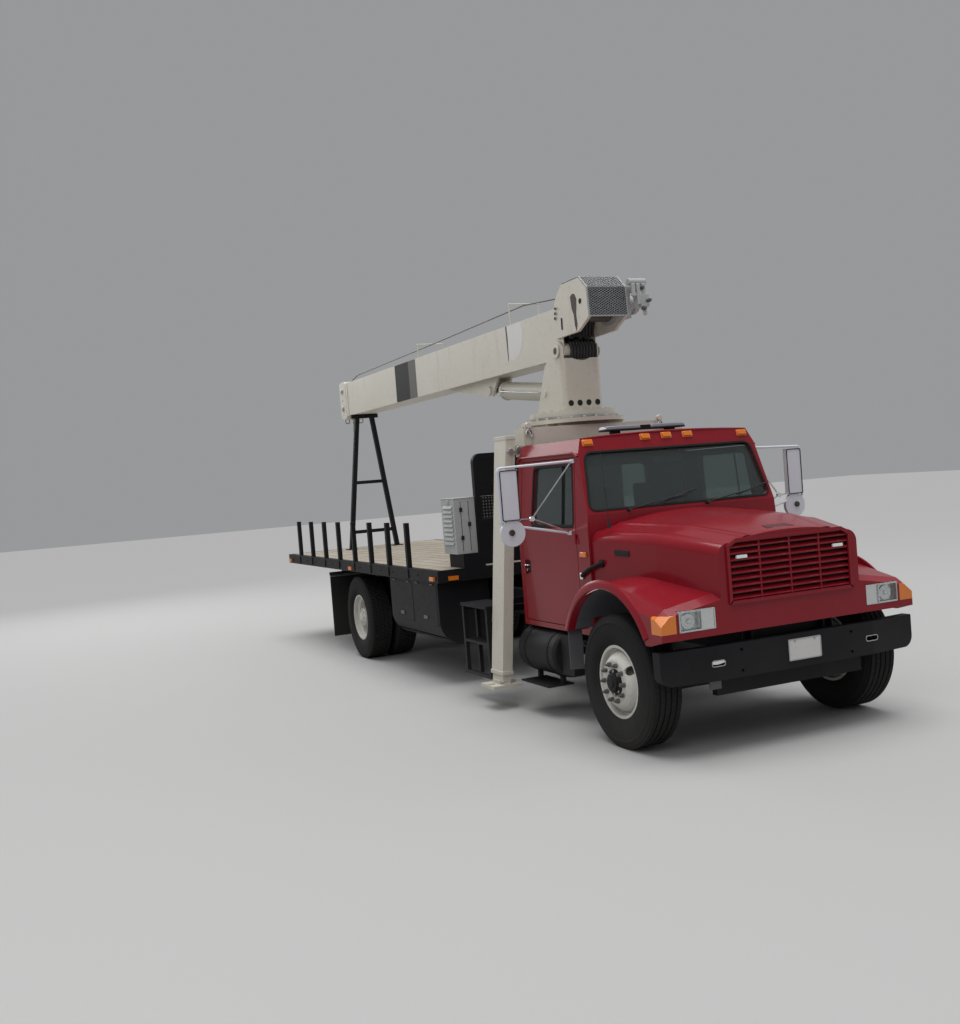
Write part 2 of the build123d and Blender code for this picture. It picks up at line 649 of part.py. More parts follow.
with BuildPart() as cab_glass:
    add(pane)
    add(pane_inside, mode=Mode.SUBTRACT)
    with BuildPart(mode=Mode.PRIVATE) as panes:
        add(screen_prism(0))
        add(rear_window(0))
    add(panes.part, mode=Mode.INTERSECT)
keep("cab_glass", cab_glass.part)


# Hood: a ruled body over the engine, two fenders and their wheel arches, one wall thick
HOOD_SECTIONS = (  # x ahead of the front axle, half width, shoulder height, crown height
    (-HOOD_REAR, 945, 1668, 1785),
    (150, 815, 1640, 1722),
    (HOOD_NOSE, 655, 1560, 1618),
)
FENDER_SECTIONS = (  # y, height of the fender's top against its crest line
    (-560, 95),
    (-1112, 0),
    (-FENDER_HALF_WIDTH, -66),
)


def hood_form(inset):
    """The hood's solid outline drawn in by inset; where inset is not 0 its open sides run past the skin."""
    past = 80 if inset else 0
    with BuildPart() as form:
        for index, (ahead, half, shoulder, crown) in enumerate(HOOD_SECTIONS):
            x = at(ahead - inset) if ahead > 0 and index == len(HOOD_SECTIONS) - 1 else at(
                ahead - (past if index == 0 else 0)
            )
            half, shoulder, crown = half - inset, shoulder - inset, crown - inset
            with BuildSketch(Plane.YZ.offset(x)):
                with BuildLine():
                    Polyline(
                        (-half, shoulder - 90), (-half, HOOD_BOTTOM - past), (half, HOOD_BOTTOM - past),
                        (half, shoulder - 90)
                    )
                    ThreePointArc((half, shoulder - 90), (half - 30, shoulder - 24), (half - 100, shoulder))
                    ThreePointArc((half - 100, shoulder), (0, crown), (100 - half, shoulder))
                    ThreePointArc(
                        (100 - half, shoulder), (30 - half, shoulder - 24), (-half, shoulder - 90)
                    )
                make_face()
        loft(ruled=True)
    with BuildPart() as fender:
        for y, lift in FENDER_SECTIONS:
            y = y + inset if y == -FENDER_HALF_WIDTH else y + (inset if y == -560 else 0)
            top = lift - inset
            nose = at(HOOD_NOSE - inset)
            tail = back(740 - inset)
            with BuildSketch(Plane.XZ.offset(-y)):
                with BuildLine():
                    ThreePointArc((tail, 885), (back(655), 1085 + top), (back(420), 1215 + top))
                    ThreePointArc((back(420), 1215 + top), (back(120), 1262 + top), (at(200), 1224 + top))
                    Polyline(
                        (at(200), 1224 + top), (at(640), 1122 + top), (nose, 1075 + top),
                        (nose, HOOD_BOTTOM - past), (at(560), 858 - past),
                        (tail, 858 - past), (tail, 885),
                    )
                make_face()
        loft(ruled=True)
        with Locations(Location((back(ARCH_CENTRE_BACK), -560 + inset - 400, ARCH_CENTRE_Z), (90, 0, 0))):
            Cylinder(ARCH_RADIUS + inset, 800, mode=Mode.SUBTRACT)
    with BuildPart() as whole:
        add(form.part)
        for side in (1, -1):
            with Locations(
                Location((back(ARCH_CENTRE_BACK), side * (560 - inset + 400), ARCH_CENTRE_Z), (90, 0, 0))
            ):
                Cylinder(ARCH_RADIUS + inset, 800, mode=Mode.SUBTRACT)
        add(fender.part)
        add(mirror(fender.part, about=Plane.XZ))
    return whole.part


GRILLE_HALF_WIDTH = 568
GRILLE_BOTTOM = 1120
GRILLE_TOP = 1555
GRILLE_ROWS = 8
GRILLE_COLUMNS = 4
GRILLE_BAR = 20
GRILLE_DEPTH = 24
LAMP_INNER_Y = 714
LAMP_OUTER_Y = 1036
LAMP_BOTTOM = 948
LAMP_TOP = 1108
TURN_LAMP_INNER_Y = 1058
LAMP_DEPTH = 90

hood_outer = hood_form(0)
hood_inner = hood_form(HOOD_WALL)


def turn_lamp_block(shrink):
    """The corner that a turn lamp fills."""
    with BuildPart() as block:
        with Locations((at(HOOD_NOSE - 60), -1130, (LAMP_BOTTOM + LAMP_TOP) / 2 - 12)):
            Box(140 - 2 * shrink, 2 * (1130 - TURN_LAMP_INNER_Y) - 2 * shrink, 132 - 2 * shrink)
    return block.part


with BuildPart() as hood:
    add(hood_outer)
    add(hood_inner, mode=Mode.SUBTRACT)
    with Locations((back(HOOD_REAR + 200), 0, 1200)):
        Box(400, 2 * (CAB_HALF_WIDTH + 28), 1400, mode=Mode.SUBTRACT)
    with Locations((at(HOOD_NOSE), 0, (GRILLE_BOTTOM + GRILLE_TOP) / 2)):
        Box(120, 2 * GRILLE_HALF_WIDTH, GRILLE_TOP - GRILLE_BOTTOM, mode=Mode.SUBTRACT)
    for side in (1, -1):
        with Locations(
            (at(HOOD_NOSE), side * (LAMP_INNER_Y + LAMP_OUTER_Y) / 2, (LAMP_BOTTOM + LAMP_TOP) / 2)
        ):
            Box(210, LAMP_OUTER_Y - LAMP_INNER_Y, LAMP_TOP - LAMP_BOTTOM, mode=Mode.SUBTRACT)
        with Locations(
            (at((HOOD_PIVOT_AHEAD - 22 + HOOD_NOSE - HOOD_WALL) / 2), side * 300, HOOD_PIVOT_Z + 2)
        ):
            Box(HOOD_NOSE - HOOD_WALL - HOOD_PIVOT_AHEAD + 26, 36, 40)
        with Locations(Location((at(HOOD_PIVOT_AHEAD), side * 300, HOOD_PIVOT_Z), (90, 0, 0))):
            Cylinder(HINGE_PIN_RADIUS + FIT, 60, mode=Mode.SUBTRACT)
    add(turn_lamp_block(0), mode=Mode.SUBTRACT)
    add(mirror(turn_lamp_block(0), about=Plane.XZ), mode=Mode.SUBTRACT)
keep("hood", hood.part)

with BuildPart() as grille:
    pitch_y = (2 * GRILLE_HALF_WIDTH - GRILLE_BAR) / GRILLE_COLUMNS
    pitch_z = (GRILLE_TOP - GRILLE_BOTTOM - GRILLE_BAR) / GRILLE_ROWS
    with BuildSketch(Plane.YZ.offset(at(HOOD_NOSE - GRILLE_DEPTH))):
        with Locations((0, (GRILLE_BOTTOM + GRILLE_TOP) / 2)):
            Rectangle(2 * (GRILLE_HALF_WIDTH - FIT), GRILLE_TOP - GRILLE_BOTTOM - 2 * FIT)
            with GridLocations(pitch_y, pitch_z, GRILLE_COLUMNS, GRILLE_ROWS):
                Rectangle(pitch_y - GRILLE_BAR, pitch_z - GRILLE_BAR, mode=Mode.SUBTRACT)
    extrude(amount=GRILLE_DEPTH)
keep("grille", grille.part)

with BuildPart() as headlamps:
    for side in (1, -1):
        with Locations(
            (
                at(HOOD_NOSE - LAMP_DEPTH / 2 - 6), side * (LAMP_INNER_Y + LAMP_OUTER_Y) / 2,
                (LAMP_BOTTOM + LAMP_TOP) / 2
            )
        ):
            Box(LAMP_DEPTH, LAMP_OUTER_Y - LAMP_INNER_Y - 2 * FIT, LAMP_TOP - LAMP_BOTTOM - 2 * FIT)
keep("headlamps", headlamps.part)

with BuildPart() as turn_lamps:
    add(hood_outer)
    with BuildPart(mode=Mode.PRIVATE) as lamp_blocks:
        add(turn_lamp_block(FIT))
        add(mirror(turn_lamp_block(FIT), about=Plane.XZ))
    add(lamp_blocks.part, mode=Mode.INTERSECT)
keep("turn_lamps", turn_lamps.part)

# Inside the cab: two seats and the dashboard with the steering wheel
SEATS = ((500, 500), (-430, 760))  # centre y, width
SEAT_FRONT = 1270  # behind the front axle
SEAT_REAR = 1840
CUSHION_TOP = 1410
FLOOR_TOP = CAB_FLOOR + CAB_WALL
with BuildPart() as seats:
    for y, width in SEATS:
        inner_side = y * (1 - width / 2 / abs(y)) + 40 * y / abs(y)
        outer_side = (CAB_TUNNEL_HALF_WIDTH + CAB_WALL - 10) * y / abs(y)
        with Locations(
            (
                back((SEAT_FRONT + SEAT_REAR) / 2), (inner_side + outer_side) / 2,
                (FLOOR_TOP + CUSHION_TOP - 130) / 2
            )
        ):
            Box(SEAT_REAR - SEAT_FRONT - 160, abs(outer_side - inner_side), CUSHION_TOP - 130 - FLOOR_TOP)
        with BuildSketch(Plane.XZ.offset(-y - width / 2)) as seat_side:
            with BuildLine():
                Polyline(
                    (back(SEAT_FRONT), CUSHION_TOP - 130), (back(SEAT_FRONT), CUSHION_TOP),
                    (back(SEAT_REAR - 170), CUSHION_TOP - 30),
                    (back(SEAT_REAR - 110), 2010), (back(SEAT_REAR), 2010),
                    (back(SEAT_REAR - 40), CUSHION_TOP - 130), close=True,
                )
            make_face()
            fillet(seat_side.vertices(), 35)
        extrude(amount=width)
keep("seats", seats.part)

DASH_TOP = 1725
COLUMN_RADIUS = 24
WHEEL_Y = 500
with BuildPart() as dashboard:
    with BuildSketch(Plane.XZ.offset(-860)):
        with BuildLine():
            front = back(CAB_FRONT + CAB_WALL)
            Polyline(
                (front, 1330), (front, DASH_TOP + 20), (back(820), DASH_TOP), (back(960), 1660),
                (back(980), 1480), (back(900), 1330), close=True,
            )
        make_face()
    extrude(amount=1720)
    with Locations(Location((back(1100), WHEEL_Y, 1620), (0, -55, 0))):
        Cylinder(COLUMN_RADIUS + FIT, 700, mode=Mode.SUBTRACT)
        Torus(215, 15)
        Cylinder(40, 26)
        Box(18, 420, 12)
        with Locations((0, 0, -140)):
            Cylinder(COLUMN_RADIUS, 300)
keep("dashboard", dashboard.part)

# Mirrors on the doors: a flat head, a round convex head and their tube loop
MIRROR_BACK = 985
MIRROR_Y = 1495
TUBE = 11
with BuildPart() as mirror_right:
    top_foot = (back(880), -922, 2262)
    low_foot = (back(925), -978, 1652)
    with BuildLine():
        FilletPolyline(
            top_foot, (back(MIRROR_BACK), -MIRROR_Y - 92, 2245), (back(MIRROR_BACK), -MIRROR_Y - 92, 1772),
            (back(MIRROR_BACK - 8), -MIRROR_Y + 120, 1735), low_foot,
            radius=35,
        )
    with BuildSketch(
        Plane(
            origin=top_foot,
            z_dir=(back(MIRROR_BACK) - top_foot[0], -MIRROR_Y - 92 - top_foot[1], 2245 - top_foot[2])
        )
    ):
        Circle(TUBE)
    sweep()
    with Locations((back(880), -926, 2262), (back(925), -976.5, 1652)):
        Box(60, 12, 34)
    with Locations((back(MIRROR_BACK), -MIRROR_Y, 2012)):
        Box(46, 172, 430)
    with Locations(Location((back(MIRROR_BACK), -MIRROR_Y + 10, 1695), (0, 90, 0))):
        Cylinder(112, 34)
keep_pair("mirror", mirror_right.part)

# Roof: five marker lamps on the brow over the screen and a low light bar on two feet
MARKERS = ((-800, 2405), (-220, 2425), (0, 2427), (220, 2425), (800, 2405))  # y, height
SCREEN_TILT = degrees(atan2(SCREEN_LEAN, 1000))
with BuildPart() as roof_lamps:
    for y, z in MARKERS:
        lamp_x = back(CAB_FRONT + (z - SCREEN_BASE) * SCREEN_LEAN / 1000)
        with Locations(Location((lamp_x, y, z), (0, -SCREEN_TILT, 0))):
            Box(44, 100, 50)
    with Locations((back(1200), 0, 2525)):
        Box(150, 840, 46)
    with Locations((back(1200), -290, 2460), (back(1200), 290, 2460)):
        Box(60, 60, 90)
    add(cab_outer, mode=Mode.SUBTRACT)
keep("roof_lamps", roof_lamps.part)

# Under the cab: fuel tank on the left, battery box, round tank and step on the right
TANK_BACKS = (980, 1900)
with BuildPart() as fuel_tank:
    with BuildSketch(Plane.YZ.offset(back(TANK_BACKS[1]))):
        with Locations((770, 575)):
            RectangleRounded(520, 400, 150)
    extrude(amount=TANK_BACKS[1] - TANK_BACKS[0])
    with Locations((back(sum(TANK_BACKS) / 2), 770, 575)):
        Box(TANK_BACKS[1] - TANK_BACKS[0] - 16, 400, 280, mode=Mode.SUBTRACT)
    for x in (back(1180), back(1700)):
        with Locations((x, RAIL_HALF_SPREAD + 42, 760)):
            Box(60, 84, 60)
        with Locations((x, RAIL_HALF_SPREAD + 60, 600)):
            Box(60, 60, 340)
keep("fuel_tank", fuel_tank.part)

ROUND_TANK_BACKS = (1230, 1950)
ROUND_TANK_RADIUS = 215
ROUND_TANK_Y = 850
ROUND_TANK_Z = 565
BATTERY_BACKS = (1000, 1212)
with BuildPart() as battery_box:
    tank_length = ROUND_TANK_BACKS[1] - ROUND_TANK_BACKS[0]
    tank_middle = back(sum(ROUND_TANK_BACKS) / 2)
    with Locations(Location((tank_middle, -ROUND_TANK_Y, ROUND_TANK_Z), (0, 90, 0))):
        Cylinder(ROUND_TANK_RADIUS, tank_length)
    fillet(battery_box.edges().filter_by(GeomType.CIRCLE), 35)
    with Locations((back(sum(BATTERY_BACKS) / 2), -790, 580)):
        Box(BATTERY_BACKS[1] - BATTERY_BACKS[0], 400, 350)
    with Locations((back((BATTERY_BACKS[1] + ROUND_TANK_BACKS[0]) / 2), -700, 560)):
        Box(60, 160, 80)
    for behind in (ROUND_TANK_BACKS[0] + 140, ROUND_TANK_BACKS[1] - 140):
        with Locations((back(behind), -(RAIL_HALF_SPREAD + ROUND_TANK_Y) / 2, ROUND_TANK_Z)):
            Box(60, ROUND_TANK_Y - RAIL_HALF_SPREAD, 60)
        with Locations((back(behind), -RAIL_HALF_SPREAD - 30, (ROUND_TANK_Z - 30 + RAIL_TOP - 40) / 2)):
            Box(60, 60, RAIL_TOP - 40 - ROUND_TANK_Z + 30)
        with Locations((back(behind), -ROUND_TANK_Y - 60, 330)):
            Box(40, 40, 90)
    with Locations((tank_middle, -ROUND_TANK_Y - 110, 285)):
        Box(tank_length - 180, 260, 14)
keep("battery_box", battery_box.part)

# Load bed: sills on the frame, cross members, side rails, plank deck
BED_SILL_INNER_Y = 355
BED_SILL_TOP = 1110
BED_MEMBERS = 12
CROSS_MEMBER_WIDTH = 60
STAKES = 8
FIRST_STAKE_BACK = 4330
LAST_STAKE_BACK = BED_REAR - 620
STAKE_HEIGHT = 500
STAKE_WIDTH = 55
PLANKS = 13
PLANK_GAP = 3
bed_middle = back((BED_FRONT + BED_REAR) / 2)
bed_length = BED_REAR - BED_FRONT
with BuildPart() as bed_frame:
    for side in (1, -1):
        with Locations(
            (bed_middle, side * (BED_SILL_INNER_Y + RAIL_HALF_SPREAD) / 2, (RAIL_TOP + BED_SILL_TOP) / 2)
        ):
            Box(bed_length, RAIL_HALF_SPREAD - BED_SILL_INNER_Y, BED_SILL_TOP - RAIL_TOP)
        with Locations(
            (bed_middle, side * (BED_HALF_WIDTH - BED_RAIL_WIDTH / 2), DECK_TOP - BED_RAIL_DEPTH / 2)
        ):
            Box(bed_length, BED_RAIL_WIDTH, BED_RAIL_DEPTH)
    for index in range(BED_MEMBERS):
        x = back(
            BED_FRONT + CROSS_MEMBER_WIDTH / 2 + index * (
                bed_length - CROSS_MEMBER_WIDTH
            ) / (BED_MEMBERS - 1)
        )
        with Locations((x, 0, (BED_SILL_TOP + DECK_TOP - DECK_THICKNESS) / 2)):
            Box(
                CROSS_MEMBER_WIDTH, 2 * BED_HALF_WIDTH - BED_RAIL_WIDTH,
                DECK_TOP - DECK_THICKNESS - BED_SILL_TOP
            )
    for x in (back(BED_FRONT + 30), back(BED_REAR - 30)):
        with Locations((x, 0, DECK_TOP - BED_RAIL_DEPTH / 2)):
            Box(60, 2 * BED_HALF_WIDTH, BED_RAIL_DEPTH)
keep("bed_frame", bed_frame.part)

with BuildPart() as stakes:
    for side in (1, -1):
        for index in range(STAKES):
            with Locations(
                (
                    back(FIRST_STAKE_BACK + index * (LAST_STAKE_BACK - FIRST_STAKE_BACK) / (STAKES - 1)),
                    side * (BED_HALF_WIDTH - 30), DECK_TOP
                )
            ):
                Box(STAKE_WIDTH, 50, STAKE_HEIGHT, align=(Align.CENTER, Align.CENTER, Align.MIN))
keep("stakes", stakes.part)

with BuildPart() as deck_planks:
    deck_width = 2 * (BED_HALF_WIDTH - BED_RAIL_WIDTH)
    plank = (deck_width - (PLANKS - 1) * PLANK_GAP) / PLANKS
    with Locations((bed_middle, 0, DECK_TOP - DECK_THICKNESS / 2)):
        with GridLocations(1, plank + PLANK_GAP, 1, PLANKS):
            Box(bed_length - 120, plank, DECK_THICKNESS)
keep("deck_planks", deck_planks.part)

# Headboard behind the crane: a tube frame and its sheet, with a band left open, and a side plinth
HEADBOARD_HALF_WIDTH = 720
HEADBOARD_TOP = 2440
HEADBOARD_TUBE = 60
HEADBOARD_SHEET = 5
HEADBOARD_BAND = (1740, 1985)  # height from, to
CABINET_BOX = (3450, 3800, 725, 965, 1390, 1980)  # back from, to, y from, to, z from, to
with BuildPart() as headboard:
    with BuildSketch(Plane.YZ.offset(back(BED_FRONT + HEADBOARD_TUBE))) as headboard_outline:
        with Locations((0, (DECK_TOP + HEADBOARD_TOP) / 2)):
            Rectangle(2 * HEADBOARD_HALF_WIDTH, HEADBOARD_TOP - DECK_TOP)
        fillet(headboard_outline.vertices().group_by(Axis.Y)[-1], 90)
        with Locations((0, (DECK_TOP + HEADBOARD_TOP) / 2 - 30)):
            Rectangle(
                2 * (HEADBOARD_HALF_WIDTH - HEADBOARD_TUBE), HEADBOARD_TOP - DECK_TOP - HEADBOARD_TUBE,
                mode=Mode.SUBTRACT
            )
        for z in (HEADBOARD_BAND[0] - HEADBOARD_TUBE / 2, HEADBOARD_BAND[1] + HEADBOARD_TUBE / 2):
            with Locations((0, z)):
                Rectangle(2 * HEADBOARD_HALF_WIDTH - 40, HEADBOARD_TUBE)
        for y in (-240, 240):
            with Locations((y, (DECK_TOP + HEADBOARD_TOP) / 2)):
                Rectangle(50, HEADBOARD_TOP - DECK_TOP - 40)
    extrude(amount=HEADBOARD_TUBE)
    for low, high in ((DECK_TOP + 20, HEADBOARD_BAND[0]), (HEADBOARD_BAND[1], HEADBOARD_TOP - 20)):
        with Locations((back(BED_FRONT + HEADBOARD_SHEET / 2 + 4), 0, (low + high) / 2)):
            Box(HEADBOARD_SHEET, 2 * HEADBOARD_HALF_WIDTH - HEADBOARD_TUBE, high - low)
    x1, x2, y1, y2, z1, z2 = CABINET_BOX
    with Locations(
        (back((BED_FRONT + x2) / 2), -(HEADBOARD_HALF_WIDTH - 20 + y2 - 55) / 2, (DECK_TOP + z1) / 2)
    ):
        Box(x2 - BED_FRONT, y2 - 55 - HEADBOARD_HALF_WIDTH + 20, z1 - DECK_TOP)
keep("headboard", headboard.part)

# Louvred cabinet beside the headboard, on the headboard's plinth
CABINET_WALL = 8
with BuildPart() as cabinet:
    x1, x2, y1, y2, z1, z2 = CABINET_BOX
    with Locations((back((x1 + x2) / 2), -(y1 + y2) / 2, (z1 + z2) / 2)):
        Box(x2 - x1, y2 - y1, z2 - z1)
        Box(
            x2 - x1 - 2 * CABINET_WALL, y2 - y1 - 2 * CABINET_WALL, z2 - z1 - 2 * CABINET_WALL,
            mode=Mode.SUBTRACT,
        )
keep("cabinet", cabinet.part)

# Tool boxes under the bed, round below
TOOLBOX_BACKS = (3520, 5000)
TOOLBOX_INNER_Y = 600
TOOLBOX_OUTER_Y = 1196
TOOLBOX_BOTTOM = 432
with BuildPart() as toolbox_right:
    with BuildSketch(Plane.YZ.offset(back(TOOLBOX_BACKS[1]))):
        with BuildLine():
            Polyline(
                (-TOOLBOX_INNER_Y, BED_SILL_TOP), (-TOOLBOX_OUTER_Y, BED_SILL_TOP),
                (-TOOLBOX_OUTER_Y, TOOLBOX_BOTTOM + 260)
            )
            ThreePointArc(
                (-TOOLBOX_OUTER_Y, TOOLBOX_BOTTOM + 260), (-TOOLBOX_OUTER_Y + 78, TOOLBOX_BOTTOM + 76),
                (-TOOLBOX_OUTER_Y + 260, TOOLBOX_BOTTOM)
            )
            Polyline(
                (-TOOLBOX_OUTER_Y + 260, TOOLBOX_BOTTOM), (-TOOLBOX_INNER_Y, TOOLBOX_BOTTOM),
                (-TOOLBOX_INNER_Y, BED_SILL_TOP)
            )
        make_face()
    extrude(amount=TOOLBOX_BACKS[1] - TOOLBOX_BACKS[0])
    with Locations(
        (
            back(sum(TOOLBOX_BACKS) / 2), -(TOOLBOX_INNER_Y + TOOLBOX_OUTER_Y) / 2 + 20,
            (TOOLBOX_BOTTOM + BED_SILL_TOP) / 2 + 20
        )
    ):
        Box(
            TOOLBOX_BACKS[1] - TOOLBOX_BACKS[0] - 16, 500, BED_SILL_TOP - TOOLBOX_BOTTOM - 100,
            mode=Mode.SUBTRACT
        )
with BuildPart() as toolboxes:
    add(toolbox_right.part)
    add(mirror(toolbox_right.part, about=Plane.XZ))
keep("toolboxes", toolboxes.part)

# Operator steps beside the crane base
STEP_BACKS = (2310, 2920)
with BuildPart() as operator_steps:
    for side in (1, -1):
        middle = back((STEP_BACKS[0] + STEP_BACKS[1]) / 2)
        span = STEP_BACKS[1] - STEP_BACKS[0]
        with Locations((middle, side * 1050, 930)):
            Box(span, 300, 30)
        with Locations((middle, side * 1100, 570)):
            Box(span - 60, 180, 26)
        for x in (back(STEP_BACKS[0] + 25), back(STEP_BACKS[1] - 25)):
            with Locations((x, side * 1170, 590)):
                Box(40, 40, 690)
            with Locations((x, side * 1030, 570)):
                Box(40, 40, 700)
            with Locations((x, side * (RAIL_HALF_SPREAD + 1190) / 2, 900)):
                Box(40, 1190 - RAIL_HALF_SPREAD, 60)
        with Locations((middle, side * 1170, 255)):
            Box(span, 40, 30)
keep("operator_steps", operator_steps.part)

# Mud flaps behind the rear wheels
FLAP_BACK = 7450
with BuildPart() as mudflaps:
    for side in (1, -1):
        with Locations((back(FLAP_BACK), side * 900, 610)):
            Box(12, 600, 880)
        with Locations((back(FLAP_BACK) + 26, side * (RAIL_HALF_SPREAD + 1210) / 2, 1030)):
            Box(40, 1210 - RAIL_HALF_SPREAD, 40)
    add(chassis_frame.part, mode=Mode.SUBTRACT)
keep("mudflaps", mudflaps.part)

# Bed lamps: amber on the side rails and the front rail, red at the tail
BED_LAMP_Z = DECK_TOP - 88
with BuildPart() as side_lamps:
    for side in (1, -1):
        for behind in (3563, 6400, BED_REAR - 120):
            with Locations((back(behind), side * (BED_HALF_WIDTH + 12), BED_LAMP_Z)):
                Box(110, 24, 44)
        with Locations((back(BED_FRONT - 12), side * 1050, BED_LAMP_Z)):
            Box(24, 110, 44)
keep("side_lamps", side_lamps.part)
with BuildPart() as tail_lamps:
    for side in (1, -1):
        for y in (700, 850, 1000):
            with Locations(Location((back(BED_REAR + 16), side * y, DECK_TOP - 66), (0, 90, 0))):
                Cylinder(50, 32)
keep("tail_lamps", tail_lamps.part)

# Boom rest standing across the bed
REST_BACK = BOOM_MOUTH_BACK - 230
REST_TUBE = 60
with BuildPart() as boom_rest:
    with BuildSketch(Plane.YZ.offset(back(REST_BACK) - REST_TUBE / 2)):
        for side in (1, -1):
            Polygon(
                (side * 400, DECK_TOP), (side * 335, DECK_TOP), (side * 85, BOOM_BOTTOM - 50),
                (side * 150, BOOM_BOTTOM - 50), align=None
            )
            with Locations((side * 368, DECK_TOP + 6)):
                Rectangle(150, 12)
        for z in (1500, 2250):
            half = 368 - 250 * (z - DECK_TOP) / (BOOM_BOTTOM - 50 - DECK_TOP)
            with Locations((0, z)):
                Rectangle(2 * half, 50)
        with Locations((0, BOOM_BOTTOM - FIT - 30)):
            Rectangle(420, 60)
    extrude(amount=REST_TUBE)
    with Locations((back(REST_BACK), 0, DECK_TOP + 6)):
        for side in (1, -1):
            with Locations((0, side * 368, 0)):
                Box(160, 150, 12)
keep("boom_rest", boom_rest.part)

# Crane base: a box pedestal on the frame with the outrigger beam and the round slewing seat
PEDESTAL_LOWER = 450  # half length
PEDESTAL_UPPER = 330
PEDESTAL_STEP_Z = 1500
SEAT_PLATE_RADIUS = 520
BEAM_HALF_WIDTH = 780
LEG_PIN_RADIUS = 25
with BuildPart() as crane_base:
    with Locations((back(SLEW_BACK), 0, (RAIL_TOP + PEDESTAL_STEP_Z) / 2)):
        Box(2 * PEDESTAL_LOWER, 2 * RAIL_HALF_SPREAD, PEDESTAL_STEP_Z - RAIL_TOP)
    with Locations((back(SLEW_BACK), 0, (PEDESTAL_STEP_Z + TURNTABLE_Z - 40) / 2)):
        Box(2 * PEDESTAL_UPPER, 2 * PEDESTAL_UPPER, TURNTABLE_Z - 40 - PEDESTAL_STEP_Z)
    with Locations((back(SLEW_BACK), 0, (RAIL_TOP + TURNTABLE_Z) / 2)):
        Box(
            2 * PEDESTAL_UPPER - 40, 2 * PEDESTAL_UPPER - 40, TURNTABLE_Z - RAIL_TOP - 120,
            mode=Mode.SUBTRACT
        )
    with Locations((back(SLEW_BACK), 0, TURNTABLE_Z - 20)):
        Cylinder(SEAT_PLATE_RADIUS, 40)
    with Locations((back(OUTRIGGER_BACK), 0, 2485)):
        Box(200, 2 * BEAM_HALF_WIDTH, 270)
    for side in (1, -1):
        with Locations((back(OUTRIGGER_BACK), side * (BEAM_HALF_WIDTH + LEG_PIVOT_Y) / 2, LEG_PIVOT_Z)):
            Box(60, LEG_PIVOT_Y - BEAM_HALF_WIDTH, 80)
        with Locations(Location((back(OUTRIGGER_BACK), side * LEG_PIVOT_Y, LEG_PIVOT_Z), (0, 90, 0))):
            Cylinder(40, 60)
            Cylinder(LEG_PIN_RADIUS, 190)
keep("crane_base", crane_base.part)

# Turret column: flange, a bent front plate with its two sides, and the boom's ears
FLANGE_TOP = 2765
COLUMN_TOP = BOOM_BOTTOM + 170
COLUMN_CORNER = 45
FRONT_PLATE_TOP = BOOM_BOTTOM - 5
FRONT_HOLES_Z = 2842
FRONT_HOLES_PITCH = 100
COLUMN_OUTLINE = (  # behind the front axle, height
    (COLUMN_FRONT_BACK, FLANGE_TOP - 5),
    (COLUMN_FRONT_BACK, BOOM_BOTTOM + 40),
    (COLUMN_FRONT_BACK + 50, BOOM_BOTTOM + 150),
    (COLUMN_FRONT_BACK + 120, BOOM_BOTTOM + 160),
    (COLUMN_REAR_BACK - 240, BOOM_BOTTOM - 40),
    (COLUMN_REAR_BACK, FLANGE_TOP - 5),
)
with BuildPart() as turret_column:
    with BuildSketch(Plane.XY.offset(FLANGE_TOP - 5)) as column_section:
        with Locations((back(COLUMN_FRONT_BACK), 0)):
            Rectangle(2 * (COLUMN_REAR_BACK - COLUMN_FRONT_BACK), 2 * COLUMN_HALF_WIDTH)
        with Locations((back(COLUMN_FRONT_BACK) + 500, 0)):
            Rectangle(1000, 3 * COLUMN_HALF_WIDTH, mode=Mode.SUBTRACT)
        fillet(column_section.vertices().group_by(Axis.X)[-1], COLUMN_CORNER)
        with Locations((back(COLUMN_FRONT_BACK + COLUMN_PLATE) - 500, 0)):
            Rectangle(1000, 2 * (COLUMN_HALF_WIDTH - COLUMN_PLATE), mode=Mode.SUBTRACT)
    extrude(amount=COLUMN_TOP - FLANGE_TOP + 5)
    with BuildPart(mode=Mode.INTERSECT):
        with BuildSketch(Plane.XZ.offset(-COLUMN_HALF_WIDTH - 10)):
            Polygon(*[(back(behind), z) for behind, z in COLUMN_OUTLINE], align=None)
            with Locations((back(BOOM_PIVOT_BACK), BOOM_PIVOT_Z)):
                Circle(EAR_RADIUS)
        extrude(amount=2 * COLUMN_HALF_WIDTH + 20)
    with Locations((back(COLUMN_FRONT_BACK), 0, FRONT_PLATE_TOP + 200)):
        Box(2 * COLUMN_PLATE + 2, 2 * (COLUMN_HALF_WIDTH - COLUMN_PLATE), 400, mode=Mode.SUBTRACT)
    with Locations(Location((back(COLUMN_FRONT_BACK), 0, FRONT_PLATE_TOP + 180), (0, 90, 0))):
        Cylinder(205, 3 * COLUMN_PLATE, mode=Mode.SUBTRACT)
    with Locations((back(COLUMN_FRONT_BACK), 0, FRONT_HOLES_Z)):
        with Locations(
            [Location((0, (index - 1.5) * FRONT_HOLES_PITCH, 0), (0, 90, 0)) for index in range(4)]
        ):
            Cylinder(22, 3 * COLUMN_PLATE, mode=Mode.SUBTRACT)
    with Locations((back(SLEW_BACK), 0, (TURNTABLE_Z + FIT + FLANGE_TOP) / 2)):
        Cylinder(FLANGE_RADIUS, FLANGE_TOP - TURNTABLE_Z - FIT)
    for behind, z, radius in ((BOOM_PIVOT_BACK, BOOM_PIVOT_Z, 45), (BARREL_PIN_BACK, BARREL_PIN_Z, 35)):
        with Locations(Location((back(behind), 0, z), (90, 0, 0))):
            Cylinder(radius, 2 * COLUMN_HALF_WIDTH + 24)
keep("turret_column", turret_column.part)


